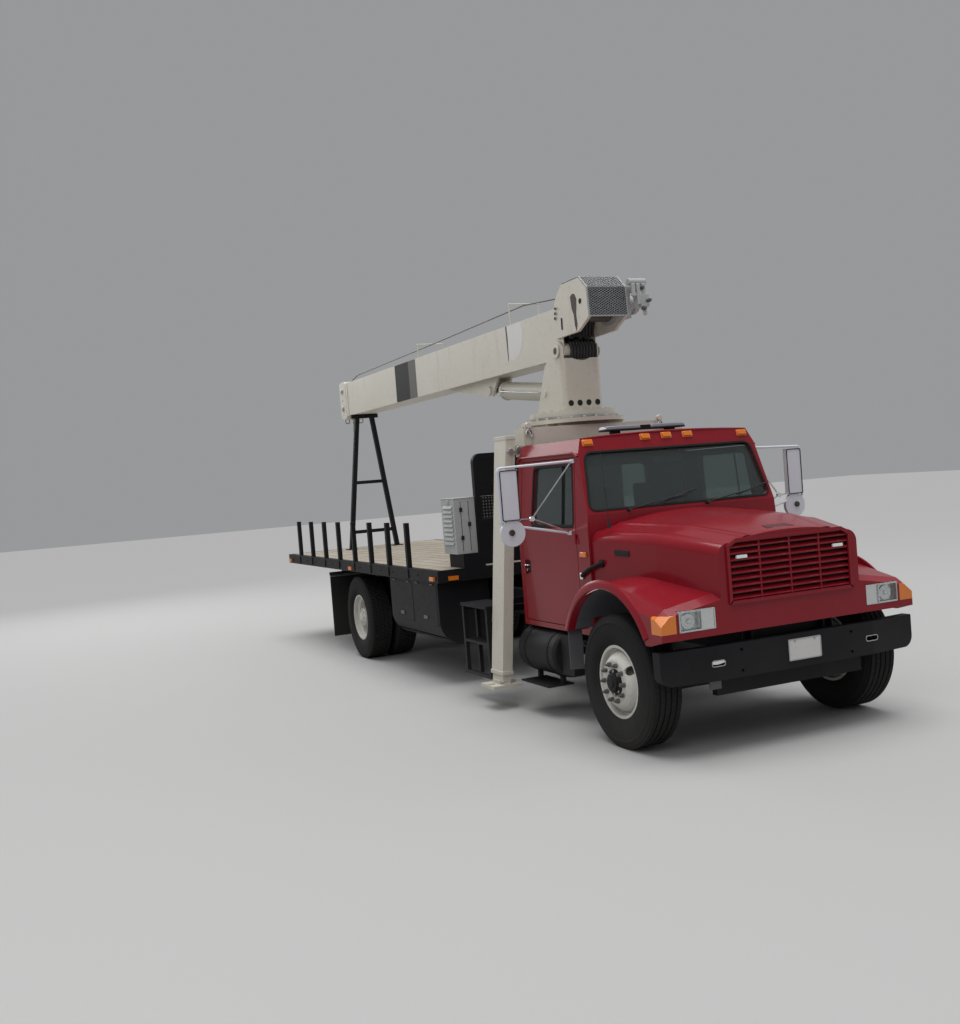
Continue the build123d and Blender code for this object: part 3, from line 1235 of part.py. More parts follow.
def section(front_back, mouth_back, step):
    """A boom section's tube: its outline is the base section's drawn in by step."""
    middle = (BOOM_TOP + BOOM_BOTTOM) / 2
    x = (back(front_back) + back(mouth_back)) / 2
    length = mouth_back - front_back
    half = BOOM_HALF_WIDTH - step
    height = BOOM_TOP - BOOM_BOTTOM - 2 * step
    with BuildPart() as tube:
        with Locations((x, 0, middle)):
            Box(length, 2 * half, height)
            Box(length + 2, 2 * (half - BOOM_WALL), height - 2 * BOOM_WALL, mode=Mode.SUBTRACT)
    return tube.part


def pads(front_back, mouth_back, step, inside):
    """Four wear pads of a section, on its inside at the mouth or on its outside at the far end."""
    half = BOOM_HALF_WIDTH - step - (BOOM_WALL if inside else 0)
    high = (BOOM_TOP - BOOM_BOTTOM) / 2 - step - (BOOM_WALL if inside else 0)
    thick = SECTION_STEP - BOOM_WALL - FIT
    reach = -thick / 2 if inside else thick / 2
    middle = (BOOM_TOP + BOOM_BOTTOM) / 2
    x = (back(front_back) + back(mouth_back)) / 2
    length = mouth_back - front_back
    with BuildPart() as blocks:
        for side in (1, -1):
            with Locations((x, side * (half + reach), middle)):
                Box(length, thick, 1.2 * high)
            with Locations((x, 0, middle + side * (high + reach))):
                Box(length, 1.2 * half, thick)
    return blocks.part


# Boom: base section with its head plates, lift cheeks and rope guides
HEAD_PLATE = 31
HEAD_OUTLINE = (  # behind the front axle, over the boom's top
    (2300, 10), (2250, 90), (2130, 195), (1780, 203), (1650, 83), (1635, -188), (1855, -296), (2300, -307),
)
CHEEK_OUTLINE = (  # behind the rod's pin, over the boom's underside
    (1220, 5), (100, -190), (-60, -200), (-230, 5),
)
CHEEK_INNER_Y = 70
CHEEK_PLATE = 25
ROPE_GUIDES = ((3370, 220), (6120, 170))  # behind the front axle, height over the boom's top
GUIDE_ROD_RADIUS = 8
with BuildPart() as boom_base:
    add(section(2215, BOOM_MOUTH_BACK, 0))
    add(pads(BOOM_MOUTH_BACK - 100, BOOM_MOUTH_BACK, 0, True))
    with Locations((back(2219.5), 0, BOOM_TOP - 200)):
        Box(9, 2 * BOOM_HALF_WIDTH, 150)
    with Locations(Location((back(BOOM_PIVOT_BACK), 0, BOOM_PIVOT_Z), (90, 0, 0))):
        Cylinder(80, 2 * BOOM_HALF_WIDTH)
    for side in (1, -1):
        with BuildSketch(Plane.XZ.offset(-side * (BOOM_HALF_WIDTH + HEAD_PLATE / 2) - HEAD_PLATE / 2)):
            Polygon(*[(back(behind), BOOM_TOP + up) for behind, up in HEAD_OUTLINE], align=None)
        extrude(amount=HEAD_PLATE)
        with BuildSketch(Plane.XZ.offset(-side * (CHEEK_INNER_Y + CHEEK_PLATE / 2) - CHEEK_PLATE / 2)):
            Polygon(
                *[(back(ROD_PIN_BACK + behind), BOOM_BOTTOM + up) for behind, up in CHEEK_OUTLINE],
                align=None
            )
        extrude(amount=CHEEK_PLATE)
        with Locations(
            Location((back(ROD_PIN_BACK), side * (CHEEK_INNER_Y + CHEEK_PLATE + 10), ROD_PIN_Z), (90, 0, 0))
        ):
            Cylinder(48, 20)
    with Locations(Location((back(BOOM_PIVOT_BACK), 0, BOOM_PIVOT_Z), (90, 0, 0))):
        Cylinder(45 + FIT, 2 * BOOM_HALF_WIDTH + 2, mode=Mode.SUBTRACT)
    for behind, height in ROPE_GUIDES:
        guide_y = BOOM_HALF_WIDTH - GUIDE_ROD_RADIUS
        for side in (1, -1):
            with Locations((back(behind), side * guide_y, BOOM_TOP - 2 + (height + 2) / 2)):
                Cylinder(GUIDE_ROD_RADIUS, height + 2)
            with Locations((back(behind), side * guide_y, BOOM_TOP + height)):
                Sphere(GUIDE_ROD_RADIUS)
        with Locations(Location((back(behind), 0, BOOM_TOP + height), (90, 0, 0))):
            Cylinder(GUIDE_ROD_RADIUS, 2 * guide_y)
    with Locations((back(2150), 0, BOOM_BOTTOM - 90)):
        Box(280, 2 * BOOM_HALF_WIDTH + 2, 230, mode=Mode.SUBTRACT)
keep("boom_base", boom_base.part)

# Winch between the head plates, its motor on the left
WINCH_BACK = 1920
WINCH_Z = BOOM_TOP - 40
DRUM_HALF = BOOM_HALF_WIDTH - 2
with BuildPart() as winch:
    with Locations(Location((back(WINCH_BACK), 0, WINCH_Z), (90, 0, 0))):
        Cylinder(140, 2 * DRUM_HALF)
        with Locations((0, 0, DRUM_HALF - 9), (0, 0, 9 - DRUM_HALF)):
            Cylinder(200, 18)
        Cylinder(50, 2 * BOOM_HALF_WIDTH)
    with Locations((back(WINCH_BACK), BOOM_HALF_WIDTH + HEAD_PLATE + 60, WINCH_Z)):
        Box(300, 120, 300)
    with Locations(Location((back(WINCH_BACK), BOOM_HALF_WIDTH + HEAD_PLATE + 190, WINCH_Z), (90, 0, 0))):
        Cylinder(85, 160)
keep("winch", winch.part)

GUARD_OUTLINE = (  # behind the front axle, over the boom's top
    (2100, 192), (1780, 197), (1656, 78), (1641, -182), (1649, -184), (1664, 75), (1784, 189), (2100, 184),
)
with BuildPart() as winch_guard:
    with BuildSketch(Plane.XZ.offset(-BOOM_HALF_WIDTH)) as guard_line:
        with BuildLine():
            Polyline(*[(back(behind), BOOM_TOP + up) for behind, up in GUARD_OUTLINE], close=True)
        make_face()
    extrude(amount=2 * BOOM_HALF_WIDTH)
keep("winch_guard", winch_guard.part)

MID_BUTT = 2700
MID_MOUTH = BOOM_MOUTH_BACK + 70
TIP_BUTT = 3000
TIP_HEAD = MID_MOUTH + 12
TIP_HEAD_HALF_WIDTH = 170
TIP_SHEAVE_BACK = TIP_HEAD + 168
TIP_OUTLINE = (  # behind the front axle, height
    (TIP_HEAD, BOOM_TOP),
    (TIP_HEAD, BOOM_BOTTOM),
    (TIP_HEAD + 60, BOOM_BOTTOM - 40),
    (TAIL_REACH - 60, BOOM_BOTTOM - 40),
    (TAIL_REACH, BOOM_BOTTOM + 40),
    (TAIL_REACH, BOOM_TOP + 10),
    (TAIL_REACH - 70, BOOM_TOP + 40),
    (TIP_HEAD + 60, BOOM_TOP + 40),
)
with BuildPart() as boom_mid:
    add(section(MID_BUTT, MID_MOUTH, SECTION_STEP))
    add(pads(MID_BUTT, MID_BUTT + 100, SECTION_STEP, False))
    add(pads(MID_MOUTH - 100, MID_MOUTH, SECTION_STEP, True))
keep("boom_mid", boom_mid.part)

with BuildPart() as boom_tip:
    add(section(TIP_BUTT, TIP_HEAD + 8, 2 * SECTION_STEP))
    add(pads(TIP_BUTT, TIP_BUTT + 100, 2 * SECTION_STEP, False))
    with BuildSketch(Plane.XZ.offset(-TIP_HEAD_HALF_WIDTH)):
        Polygon(*[(back(behind), z) for behind, z in TIP_OUTLINE], align=None)
    extrude(amount=2 * TIP_HEAD_HALF_WIDTH)
    with Locations((back(TIP_HEAD + 158), 0, BOOM_BOTTOM + (BOOM_HEIGHT + 100) / 2)):
        Box(400, 120, BOOM_HEIGHT + 100, mode=Mode.SUBTRACT)
    with Locations((back(TIP_HEAD + 9), 0, (BOOM_BOTTOM + BOOM_TOP) / 2)):
        Box(18, 280, BOOM_HEIGHT - 100)
    for z in (BOOM_TOP - 100, BOOM_BOTTOM + 130):
        with Locations(Location((back(TIP_SHEAVE_BACK), 0, z), (90, 0, 0))):
            Cylinder(95, 60)
            Cylinder(25, 400)
keep("boom_tip", boom_tip.part)

with BuildPart() as hook:
    with Locations((back(TIP_SHEAVE_BACK + 20), 0, BOOM_BOTTOM - 110)):
        Box(70, 60, 140)
        with Locations(Location((0, 0, -110), (90, 0, 0))):
            Torus(48, 17)
keep("hook", hook.part)

# Lift cylinder between the column and the base section, drawn along x and then set at its angle
LIFT_LENGTH = hypot(ROD_PIN_BACK - BARREL_PIN_BACK, ROD_PIN_Z - BARREL_PIN_Z)
LIFT_ANGLE = degrees(atan2(ROD_PIN_Z - BARREL_PIN_Z, ROD_PIN_BACK - BARREL_PIN_BACK))
BARREL_LENGTH = 1330
BARREL_BORE = 85
GLAND = 60
lift_place = Location((back(BARREL_PIN_BACK), 0, BARREL_PIN_Z), (0, LIFT_ANGLE, 0))


def along(start, end, radius):
    """A cylinder on the lift cylinder's axis, from start to end behind its foot pin."""
    with BuildPart() as bar:
        with Locations(Location((-(start + end) / 2, 0, 0), (0, 90, 0))):
            Cylinder(radius, end - start)
    return bar.part


def across(distance, radius, width):
    """A cylinder across the lift cylinder's axis at a distance behind its foot pin."""
    with BuildPart() as bar:
        with Locations(Location((-distance, 0, 0), (90, 0, 0))):
            Cylinder(radius, width)
    return bar.part


with BuildPart() as lift_barrel:
    add(along(60, BARREL_LENGTH, BARREL_RADIUS))
    add(across(0, 70, 240))
    add(along(110, BARREL_LENGTH - GLAND, BARREL_BORE), mode=Mode.SUBTRACT)
    add(along(110, BARREL_LENGTH + 10, ROD_RADIUS + FIT), mode=Mode.SUBTRACT)
    add(across(0, 35 + FIT, 260), mode=Mode.SUBTRACT)
keep("lift_barrel", lift_barrel.part.moved(lift_place))

with BuildPart() as lift_rod:
    add(along(130, 210, BARREL_BORE - FIT))
    add(along(130, LIFT_LENGTH, ROD_RADIUS))
    add(across(LIFT_LENGTH, 60, 2 * (CHEEK_INNER_Y - 5)))
keep("lift_rod", lift_rod.part.moved(lift_place))

# Outriggers: a leg that swings on the beam's pin and a jack that slides out of it
LEG_WALL = 8
LEG_BOTTOM_Z = 310
PAD_BOTTOM_Z = 200
leg_top = (935, 2550)
leg_slope = radians(LEG_LEAN)


def leg_place(z):
    """Centre of the right leg's section at a height, with the leg's lean."""
    y = leg_top[0] + (leg_top[1] - z) * sin(leg_slope) / cos(leg_slope)
    return Location((back(OUTRIGGER_BACK), -y, z), (-LEG_LEAN, 0, 0))


leg_length = (leg_top[1] - LEG_BOTTOM_Z) / cos(leg_slope)
with BuildPart() as leg_right:
    with Locations(leg_place((leg_top[1] + LEG_BOTTOM_Z) / 2)):
        Box(LEG_LENGTHWISE, LEG_CROSSWISE, leg_length)
    for side in (1, -1):
        with Locations(Location((back(OUTRIGGER_BACK) + side * 65, -LEG_PIVOT_Y, LEG_PIVOT_Z), (0, 90, 0))):
            Cylinder(44, 40)
        with Locations((back(OUTRIGGER_BACK) + side * 65, -LEG_PIVOT_Y - 35, LEG_PIVOT_Z)):
            Box(40, 70, 88)
    with Locations(Location((back(OUTRIGGER_BACK), -LEG_PIVOT_Y, LEG_PIVOT_Z), (0, 90, 0))):
        Cylinder(LEG_PIN_RADIUS + FIT, 300, mode=Mode.SUBTRACT)
    with Locations(leg_place((leg_top[1] + LEG_BOTTOM_Z) / 2)):
        with Locations((0, 0, -20)):
            Box(LEG_LENGTHWISE - 2 * LEG_WALL, LEG_CROSSWISE - 2 * LEG_WALL, leg_length, mode=Mode.SUBTRACT)
keep_pair("leg", leg_right.part)

jack_top_z = 2250
jack_bottom_z = 245
jack_length = (jack_top_z - jack_bottom_z) / cos(leg_slope)
with BuildPart() as jack_right:
    with Locations(leg_place((jack_top_z + jack_bottom_z) / 2)):
        Box(LEG_LENGTHWISE - 2 * LEG_WALL - 2 * FIT, LEG_CROSSWISE - 2 * LEG_WALL - 2 * FIT, jack_length)
        Box(
            LEG_LENGTHWISE - 4 * LEG_WALL, LEG_CROSSWISE - 4 * LEG_WALL, jack_length - 40,
            mode=Mode.SUBTRACT
        )
    pad_y = leg_top[0] + (leg_top[1] - PAD_BOTTOM_Z) * sin(leg_slope) / cos(leg_slope)
    with Locations((back(OUTRIGGER_BACK), -pad_y, PAD_BOTTOM_Z + 15)):
        Box(300, 300, 30)
    with Locations((back(OUTRIGGER_BACK), -pad_y, PAD_BOTTOM_Z + 45)):
        Box(140, 110, 40)
keep_pair("jack", jack_right.part)
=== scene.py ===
# %% [markdown]
# # A crane truck, dressed for its portrait
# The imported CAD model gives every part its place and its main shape. This script never moves a
# CAD part. It gives each one a painted, worn surface, and adds what a workshop would screw on
# afterwards: tyre treads, lamps, hoses, bolts, ropes, louvres and lashing gear.
#
# All lengths are metres. The shapes below count X forwards from the front axle, because that is
# where a truck is measured from. `new_piece` then moves each one to the axle's place in the CAD.

# %% Load the frame
import math

import bmesh
import bpy
from mathutils import Matrix, Vector


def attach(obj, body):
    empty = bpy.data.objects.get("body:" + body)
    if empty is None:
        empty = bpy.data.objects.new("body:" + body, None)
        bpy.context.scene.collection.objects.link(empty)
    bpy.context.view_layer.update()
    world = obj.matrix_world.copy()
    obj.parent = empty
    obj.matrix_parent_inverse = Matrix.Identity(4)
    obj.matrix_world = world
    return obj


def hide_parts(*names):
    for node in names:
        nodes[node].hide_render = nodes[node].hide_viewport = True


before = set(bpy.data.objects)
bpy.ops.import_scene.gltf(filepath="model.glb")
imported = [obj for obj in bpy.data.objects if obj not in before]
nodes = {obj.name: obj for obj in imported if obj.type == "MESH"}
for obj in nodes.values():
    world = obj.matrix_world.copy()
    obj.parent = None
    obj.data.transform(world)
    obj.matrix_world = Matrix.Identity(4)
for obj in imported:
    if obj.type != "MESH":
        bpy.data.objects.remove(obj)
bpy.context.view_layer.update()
FRONT_AXLE_X = 4.43

# %% [markdown]
# ## Camera
# A camera is a place and three directions. Those below were fitted to points of known size on
# the truck, such as the wheels, the bumper and the bed. Putting the directions into the columns
# of a matrix is exact, where turning the camera by hand never quite is.

# %% Camera
CAMERA_PLACE = Vector((12.0229, -5.602, 2.1825))
CAMERA_RIGHT = Vector((0.40893, 0.90921, -0.07824))
CAMERA_UP = Vector((0.00442, 0.08376, 0.99648))
FOCAL_LENGTH_PX = 1134.42
IMAGE_HEIGHT_PX = 1024
SENSOR = 36.0


def add_object(name, data):
    thing = bpy.data.objects.new(name, data)
    bpy.context.scene.collection.objects.link(thing)
    return thing


camera = add_object("camera", bpy.data.cameras.new("camera"))
camera.data.sensor_width = SENSOR
camera.data.lens = FOCAL_LENGTH_PX * SENSOR / IMAGE_HEIGHT_PX
turn = Matrix((CAMERA_RIGHT, CAMERA_UP, CAMERA_RIGHT.cross(CAMERA_UP))).transposed()
camera.matrix_world = Matrix.Translation(CAMERA_PLACE) @ turn.to_4x4()
bpy.context.scene.camera = camera
print("lens", round(camera.data.lens, 2))

# %% [markdown]
# ## Nodes in few words
# Materials and patterns are both built from nodes. One function adds a node and fills its inputs:
# with a number or a colour, with another node's output, or with a node, whose first output is
# then taken.

# %% Node helpers


def set_inputs(node, inputs):
    """Fills inputs, given by name or number, with values, outputs or the first output of a node."""
    for key, value in inputs.items():
        if isinstance(value, bpy.types.Node):
            value = value.outputs[0]
        if isinstance(value, bpy.types.NodeSocket):
            node.id_data.links.new(value, node.inputs[key])
        else:
            node.inputs[key].default_value = value
    return node


def add_node(tree, kind, inputs=(), **settings):
    node = tree.nodes.new(kind)
    for key, value in settings.items():
        setattr(node, key, value)
    return set_inputs(node, dict(inputs))


def new_material(name, inputs):
    """A material whose shader inputs are set by name."""
    material = bpy.data.materials.new(name)
    material.use_nodes = True
    set_inputs(material.node_tree.nodes["Principled BSDF"], inputs)
    return material


# %% [markdown]
# ## Floor and light
# Three big soft lamps, a wide soft sun for the open sky and a pale world show the shape without
# hard shadows.

# %% Floor, lamps and world
FLOOR_COLOUR = (0.34, 0.34, 0.335, 1)
FLOOR_HALF = 60.0
LAMPS = (  # name, place, size, power
    ("key", (11.0, -9.0, 9.5), 8.0, 430),
    ("fill", (6.0, 12.0, 8.0), 9.0, 300),
    ("rear", (-12.0, -4.0, 8.0), 8.0, 450),
)
LAMP_TARGET = Vector((1.5, 0, 1.2))

floor_mesh = bpy.data.meshes.new("floor")
corners = [(x * FLOOR_HALF, y * FLOOR_HALF, 0) for x, y in ((-1, -1), (1, -1), (1, 1), (-1, 1))]
floor_mesh.from_pydata(corners, [], [(0, 1, 2, 3)])
floor_mesh.materials.append(new_material("floor_paint", {"Base Color": FLOOR_COLOUR, "Roughness": 0.85}))
floor = add_object("floor", floor_mesh)

for name, place, size, power in LAMPS:
    light = bpy.data.lights.new(name, "AREA")
    light.shape = "DISK"
    light.size = size
    light.energy = power
    lamp = add_object(name, light)
    lamp.location = place
    lamp.rotation_euler = (LAMP_TARGET - Vector(place)).to_track_quat("-Z", "Y").to_euler()

sky = bpy.data.lights.new("sky", "SUN")
sky.energy = 3.0
sky.angle = math.radians(50)
add_object("sky", sky).location = (0, 0, 30)

world = bpy.data.worlds.new("studio")
bpy.context.scene.world = world
world.use_nodes = True
set_inputs(world.node_tree.nodes["Background"], {"Color": (0.86, 0.88, 0.90, 1), "Strength": 0.36})
bpy.context.scene.view_settings.view_transform = "Standard"

# %% [markdown]
# ## Shared surface effects
# Nearly every surface of a working truck has the same three faults: broad faded patches, fine
# specks of dirt, and dust that thickens towards the road. A shader node group holds them once,
# and each material sets how much of each it wants.

# %% Node group: weathering


def noise_mask(tree, place, scale, detail, roughness, low, high):
    """Noise, and a mask that runs from 0 to 1 between two of its levels."""
    settings = {"Vector": place, "Scale": scale, "Detail": detail, "Roughness": roughness}
    noise = add_node(tree, "ShaderNodeTexNoise", settings)
    return noise, add_node(tree, "ShaderNodeMapRange", {"Value": noise, "From Min": low, "From Max": high})


def weathering_group():
    """Outputs the masks Patch, Speck, Dust and Streak, from 0 to 1, and Relief, a height."""
    tree = bpy.data.node_groups.new("weathering", "ShaderNodeTree")
    tree.interface.new_socket("Vector", in_out="INPUT", socket_type="NodeSocketVector")
    for label, value in (("Patch Scale", 1.5), ("Speck Scale", 22.0), ("Dust Height", 1.2)):
        tree.interface.new_socket(label, in_out="INPUT", socket_type="NodeSocketFloat").default_value = value
    for label in ("Patch", "Speck", "Dust", "Streak", "Relief"):
        tree.interface.new_socket(label, in_out="OUTPUT", socket_type="NodeSocketFloat")
    start = tree.nodes.new("NodeGroupInput").outputs
    place = start["Vector"]
    broad, patch = noise_mask(tree, place, start["Patch Scale"], 5.0, 0.6, 0.42, 0.72)
    fine, speck = noise_mask(tree, place, start["Speck Scale"], 8.0, 0.7, 0.56, 0.74)
    narrow = add_node(tree, "ShaderNodeMapping", {"Vector": place, "Scale": (7.0, 7.0, 0.9)})
    streak = noise_mask(tree, narrow, 1.0, 4.0, 0.55, 0.58, 0.78)[1]
    height = add_node(tree, "ShaderNodeSeparateXYZ", {"Vector": place}).outputs["Z"]
    fade = add_node(
        tree, "ShaderNodeMapRange",
        {"Value": height, "From Min": 0.0, "From Max": start["Dust Height"], "To Min": 1.0, "To Max": 0.0},
    )
    mottled = add_node(tree, "ShaderNodeMath", {0: fade, 1: broad}, operation="MULTIPLY")
    dust = add_node(tree, "ShaderNodeMath", {0: mottled, 1: 1.9}, operation="MULTIPLY", use_clamp=True)
    masks = {"Patch": patch, "Speck": speck, "Dust": dust, "Streak": streak, "Relief": fine}
    add_node(tree, "NodeGroupOutput", masks)
    return tree


weathering = weathering_group()
ROAD_DUST = (0.30, 0.27, 0.23)


def finish(
    name, colour, roughness=0.5, metallic=0.0, coat=0.0, faded=None, patch=0.25, dirt=(0.16, 0.13, 0.10),
    speck=0.2, dust=0.3, streak=0.0, dust_height=1.2, patch_scale=1.5, speck_scale=22.0, relief=0.0, specular=0.5,
):
    """A painted or bare surface with its share of faded patches, specks, streaks and road dust."""
    material = new_material(name, {
        "Metallic": metallic, "Coat Weight": coat, "Coat Roughness": 0.12, "Specular IOR Level": specular,
    })
    tree = material.node_tree
    place = tree.nodes.new("ShaderNodeTexCoord").outputs["Object"]
    wear = add_node(tree, "ShaderNodeGroup", node_tree=weathering)
    scales = {"Patch Scale": patch_scale, "Speck Scale": speck_scale, "Dust Height": dust_height}
    set_inputs(wear, {"Vector": place, **scales})
    faded = faded or tuple(min(1.0, c * 1.12 + 0.015) for c in colour)
    base = (*colour, 1)
    layers = (("Patch", patch, faded), ("Streak", streak, dirt), ("Speck", speck, dirt), ("Dust", dust, ROAD_DUST))
    for mask, amount, tint in layers:
        if amount:
            share = add_node(tree, "ShaderNodeMath", {0: wear.outputs[mask], 1: amount}, operation="MULTIPLY")
            mix = add_node(tree, "ShaderNodeMix", {"Factor": share, 6: base, 7: (*tint, 1)}, data_type="RGBA")
            base = mix.outputs[2]
    levels = {"To Min": roughness, "To Max": min(1.0, roughness + 0.25)}
    dull = add_node(tree, "ShaderNodeMapRange", {"Value": wear.outputs["Speck"], **levels})
    shader = {"Base Color": base, "Roughness": dull}
    if relief:
        height = {"Strength": relief, "Distance": 0.004, "Height": wear.outputs["Relief"]}
        shader["Normal"] = add_node(tree, "ShaderNodeBump", height)
    set_inputs(tree.nodes["Principled BSDF"], shader)
    return material


def glass_material(name, colour, transmission, roughness):
    return new_material(name, {
        "Base Color": (*colour, 1), "Roughness": roughness, "Transmission Weight": transmission, "IOR": 1.45,
    })


# %% Paints of the truck
red = finish(
    "red_cab_paint", (0.195, 0.007, 0.014), 0.28, coat=0.35, faded=(0.235, 0.010, 0.019), patch=0.4, speck=0.06,
    dust=0.08, dust_height=0.9, specular=0.12,
)
cream = finish(
    "cream_crane_paint", (0.53, 0.50, 0.43), 0.48, faded=(0.64, 0.61, 0.55), dirt=(0.17, 0.10, 0.055), speck=0.30,
    streak=0.20, dust=0.20, dust_height=1.6, relief=0.06,
)
black = finish(
    "black_frame_paint", (0.008, 0.008, 0.010), 0.5, speck=0.15, dirt=(0.05, 0.04, 0.035), dust=0.05, dust_height=0.9,
    relief=0.08, specular=0.15,
)
grey = finish("grey_cabinet_paint", (0.36, 0.37, 0.37), speck=0.3, streak=0.25)
wheel_white = finish(
    "wheel_paint", (0.60, 0.59, 0.55), speck=0.55, patch=0.4, dust=0.5, dirt=(0.14, 0.10, 0.07), speck_scale=12.0,
)
engine_paint = finish("engine_paint", (0.10, 0.11, 0.12), 0.6, speck=0.5)
# The cab's red, darkened: painted shade in the recess of the hood slot.
shaded_slot_red = finish("slot_red_painted_shade", (0.060, 0.005, 0.008), speck=0.1, dust=0)
plate_paint = finish("blank_plate", (0.55, 0.53, 0.52), 0.4, dust=0.1)
guard_grey = finish("splash_guard_grey", (0.075, 0.08, 0.095), 0.6)
BAND = dict(roughness=0.6, dust=0, specular=0.2)
band_black = finish("band_black", (0.010, 0.010, 0.010), speck=0.15, streak=0.08, **BAND)
band_grey = finish("band_grey", (0.12, 0.117, 0.11), streak=0.1, **BAND)
rust = finish(
    "rust_and_oil", (0.030, 0.020, 0.016), 0.6, patch=0.6, faded=(0.10, 0.055, 0.032), patch_scale=14.0, speck=0.4,
    dust=0,
)

# %% Metals
steel = finish("bare_steel", (0.42, 0.42, 0.41), 0.38, metallic=0.9, speck=0.3, dust=0.2)
galvanised = finish("galvanised_steel", (0.36, 0.37, 0.38), 0.48, metallic=0.6, patch=0.6, patch_scale=9.0)
aluminium = finish("tank_aluminium", (0.52, 0.53, 0.54), 0.35, metallic=0.85, speck=0.25, dust=0.4)
nut_steel = finish("nut_steel", (0.13, 0.12, 0.12), metallic=0.5, speck=0.3, dust=0.1)
rope_steel = finish("rope_steel", (0.10, 0.09, 0.08), metallic=0.6, speck=0.4, speck_scale=60.0, dust=0)
BRIGHT = dict(patch=0, dust=0)
chrome = finish("chrome", (0.72, 0.72, 0.72), 0.10, metallic=1.0, speck=0.05, **BRIGHT)
mirror_glass = finish("mirror_glass", (0.80, 0.82, 0.84), 0.04, metallic=1.0, speck=0.04, **BRIGHT)
reflector = finish("lamp_reflector", (0.62, 0.63, 0.63), 0.22, metallic=0.9, speck=0.03, **BRIGHT)
mirror_shell = finish("mirror_shell", (0.55, 0.55, 0.60), 0.35, speck=0.1)

# %% Rubber, plastic, wood and cloth
tyre_rubber = finish(
    "tyre_rubber", (0.010, 0.010, 0.011), 0.8, dirt=(0.06, 0.05, 0.045), dust=0.06, dust_height=0.9, relief=0.15,
    specular=0.15,
)
rubber = finish("black_rubber", (0.010, 0.010, 0.010), 0.7, speck=0.15, dust=0.05, specular=0.2)
hose_rubber = finish("hose_rubber", (0.012, 0.012, 0.013), 0.6, speck=0.1, dust=0.05)
trim = finish("trim_plastic", (0.014, 0.014, 0.016), 0.6, speck=0.1, dust=0.05, specular=0.3)
# Near-black: the screen behind the grille, and painted shade inside the winch guard and in the holes and openings of
# the column and the head plates.
dark_screen_and_painted_shade = finish("grille_screen", (0.006, 0.006, 0.006), 0.8, speck=0.1, dust=0)
wood = finish(
    "deck_timber", (0.27, 0.23, 0.175), 0.75, faded=(0.37, 0.34, 0.29), patch=0.7, speck=0.45,
    dirt=(0.12, 0.09, 0.06), patch_scale=3.0, relief=0.3,
)
cloth = finish("seat_cloth", (0.05, 0.05, 0.055), 0.85, speck=0.3, dust=0, speck_scale=90.0, relief=0.2)

# %% Lenses and glass
LENS = dict(roughness=0.18, coat=0.4, patch=0.15, speck=0.05, dust=0.1)
amber = finish("amber_lens", (0.62, 0.16, 0.008), **LENS)
red_lens = finish("red_lens", (0.45, 0.01, 0.01), **LENS)
clear_lens = finish("clear_lens", (0.72, 0.75, 0.75), 0.15, coat=0.5, patch=0.2, speck=0.06, dust=0.1)
bar_glass = finish("light_bar_glass", (0.20, 0.23, 0.27), 0.15, coat=0.5, patch=0.1, speck=0.05, dust=0)
glass = glass_material("window_glass", (0.30, 0.37, 0.36), 0.93, 0.02)
lamp_glass = glass_material("lamp_glass", (0.85, 0.88, 0.88), 0.95, 0.06)

# %% Paint the CAD parts
FINISHES = {
    red: "cab_shell door_left door_right hood grille",
    cream: "crane_base turret_column boom_base boom_mid boom_tip lift_barrel leg_left leg_right jack_left jack_right",
    black: "chassis_frame front_bumper front_axle rear_axle knuckle_left knuckle_right tie_rod propshaft bed_frame"
    " headboard boom_rest toolboxes operator_steps battery_box stakes",
    grey: "cabinet winch",
    wheel_white: "wheel_front_left wheel_front_right wheels_rear_left wheels_rear_right",
    galvanised: "winch_guard",
    steel: "hook",
    chrome: "lift_rod",
    engine_paint: "engine radiator",
    aluminium: "fuel_tank",
    tyre_rubber: "tyre_front_left tyre_front_right tyres_rear_left tyres_rear_right",
    rubber: "mudflaps",
    wood: "deck_planks",
    glass: "cab_glass door_glass_left door_glass_right",
    clear_lens: "headlamps",
    amber: "turn_lamps roof_lamps side_lamps",
    red_lens: "tail_lamps",
    mirror_shell: "mirror_left mirror_right",
    trim: "dashboard",
    cloth: "seats",
}
for material, names in FINISHES.items():
    for name in names.split():
        mesh = nodes[name].data
        mesh.materials.clear()
        mesh.materials.append(material)

# %% Softened edges of the hood
hood = nodes["hood"]
hood.modifiers.new("weld", "WELD").merge_threshold = 0.0002
soften = hood.modifiers.new("soften", "BEVEL")
soften.width = 0.022
soften.segments = 3
soften.limit_method = "ANGLE"
soften.angle_limit = math.radians(24)
soften.harden_normals = True
print("hood edges softened")

# %% [markdown]
# ## Mesh tools
# What follows is drawn point by point with `bmesh`, Blender's editable mesh. All drawing goes into
# one open form. Boxes, round bars, flat plates, bands and turned rings are added to it, and
# `new_piece` closes it: what was drawn becomes a piece that rides on a body of the CAD model.

# %% The open form, boxes, bars, plates and bands
SHARP_ANGLE = math.radians(34)
form = bmesh.new()


def dots(points):
    return [form.verts.new(point) for point in points]


def skin(rings, looped=False, ring_closed=True):
    """Faces between each ring of corners and the next."""
    for first, second in zip(rings, rings[1:] + (rings[:1] if looped else [])):
        for index in range(len(first) if ring_closed else len(first) - 1):
            following = (index + 1) % len(first)
            form.faces.new((first[index], first[following], second[following], second[index]))


def box(low, high, taper=1.0):
    """A box between two corners; taper shrinks its top."""
    middle = (Vector(low) + Vector(high)) / 2
    corners = []
    for z, scale in ((low[2], 1.0), (high[2], taper)):
        for x, y in ((low[0], low[1]), (high[0], low[1]), (high[0], high[1]), (low[0], high[1])):
            corners.append((middle.x + (x - middle.x) * scale, middle.y + (y - middle.y) * scale, z))
    corners = dots(corners)
    for face in ((0, 3, 2, 1), (4, 5, 6, 7), (0, 1, 5, 4), (1, 2, 6, 5), (2, 3, 7, 6), (3, 0, 4, 7)):
        form.faces.new([corners[index] for index in face])


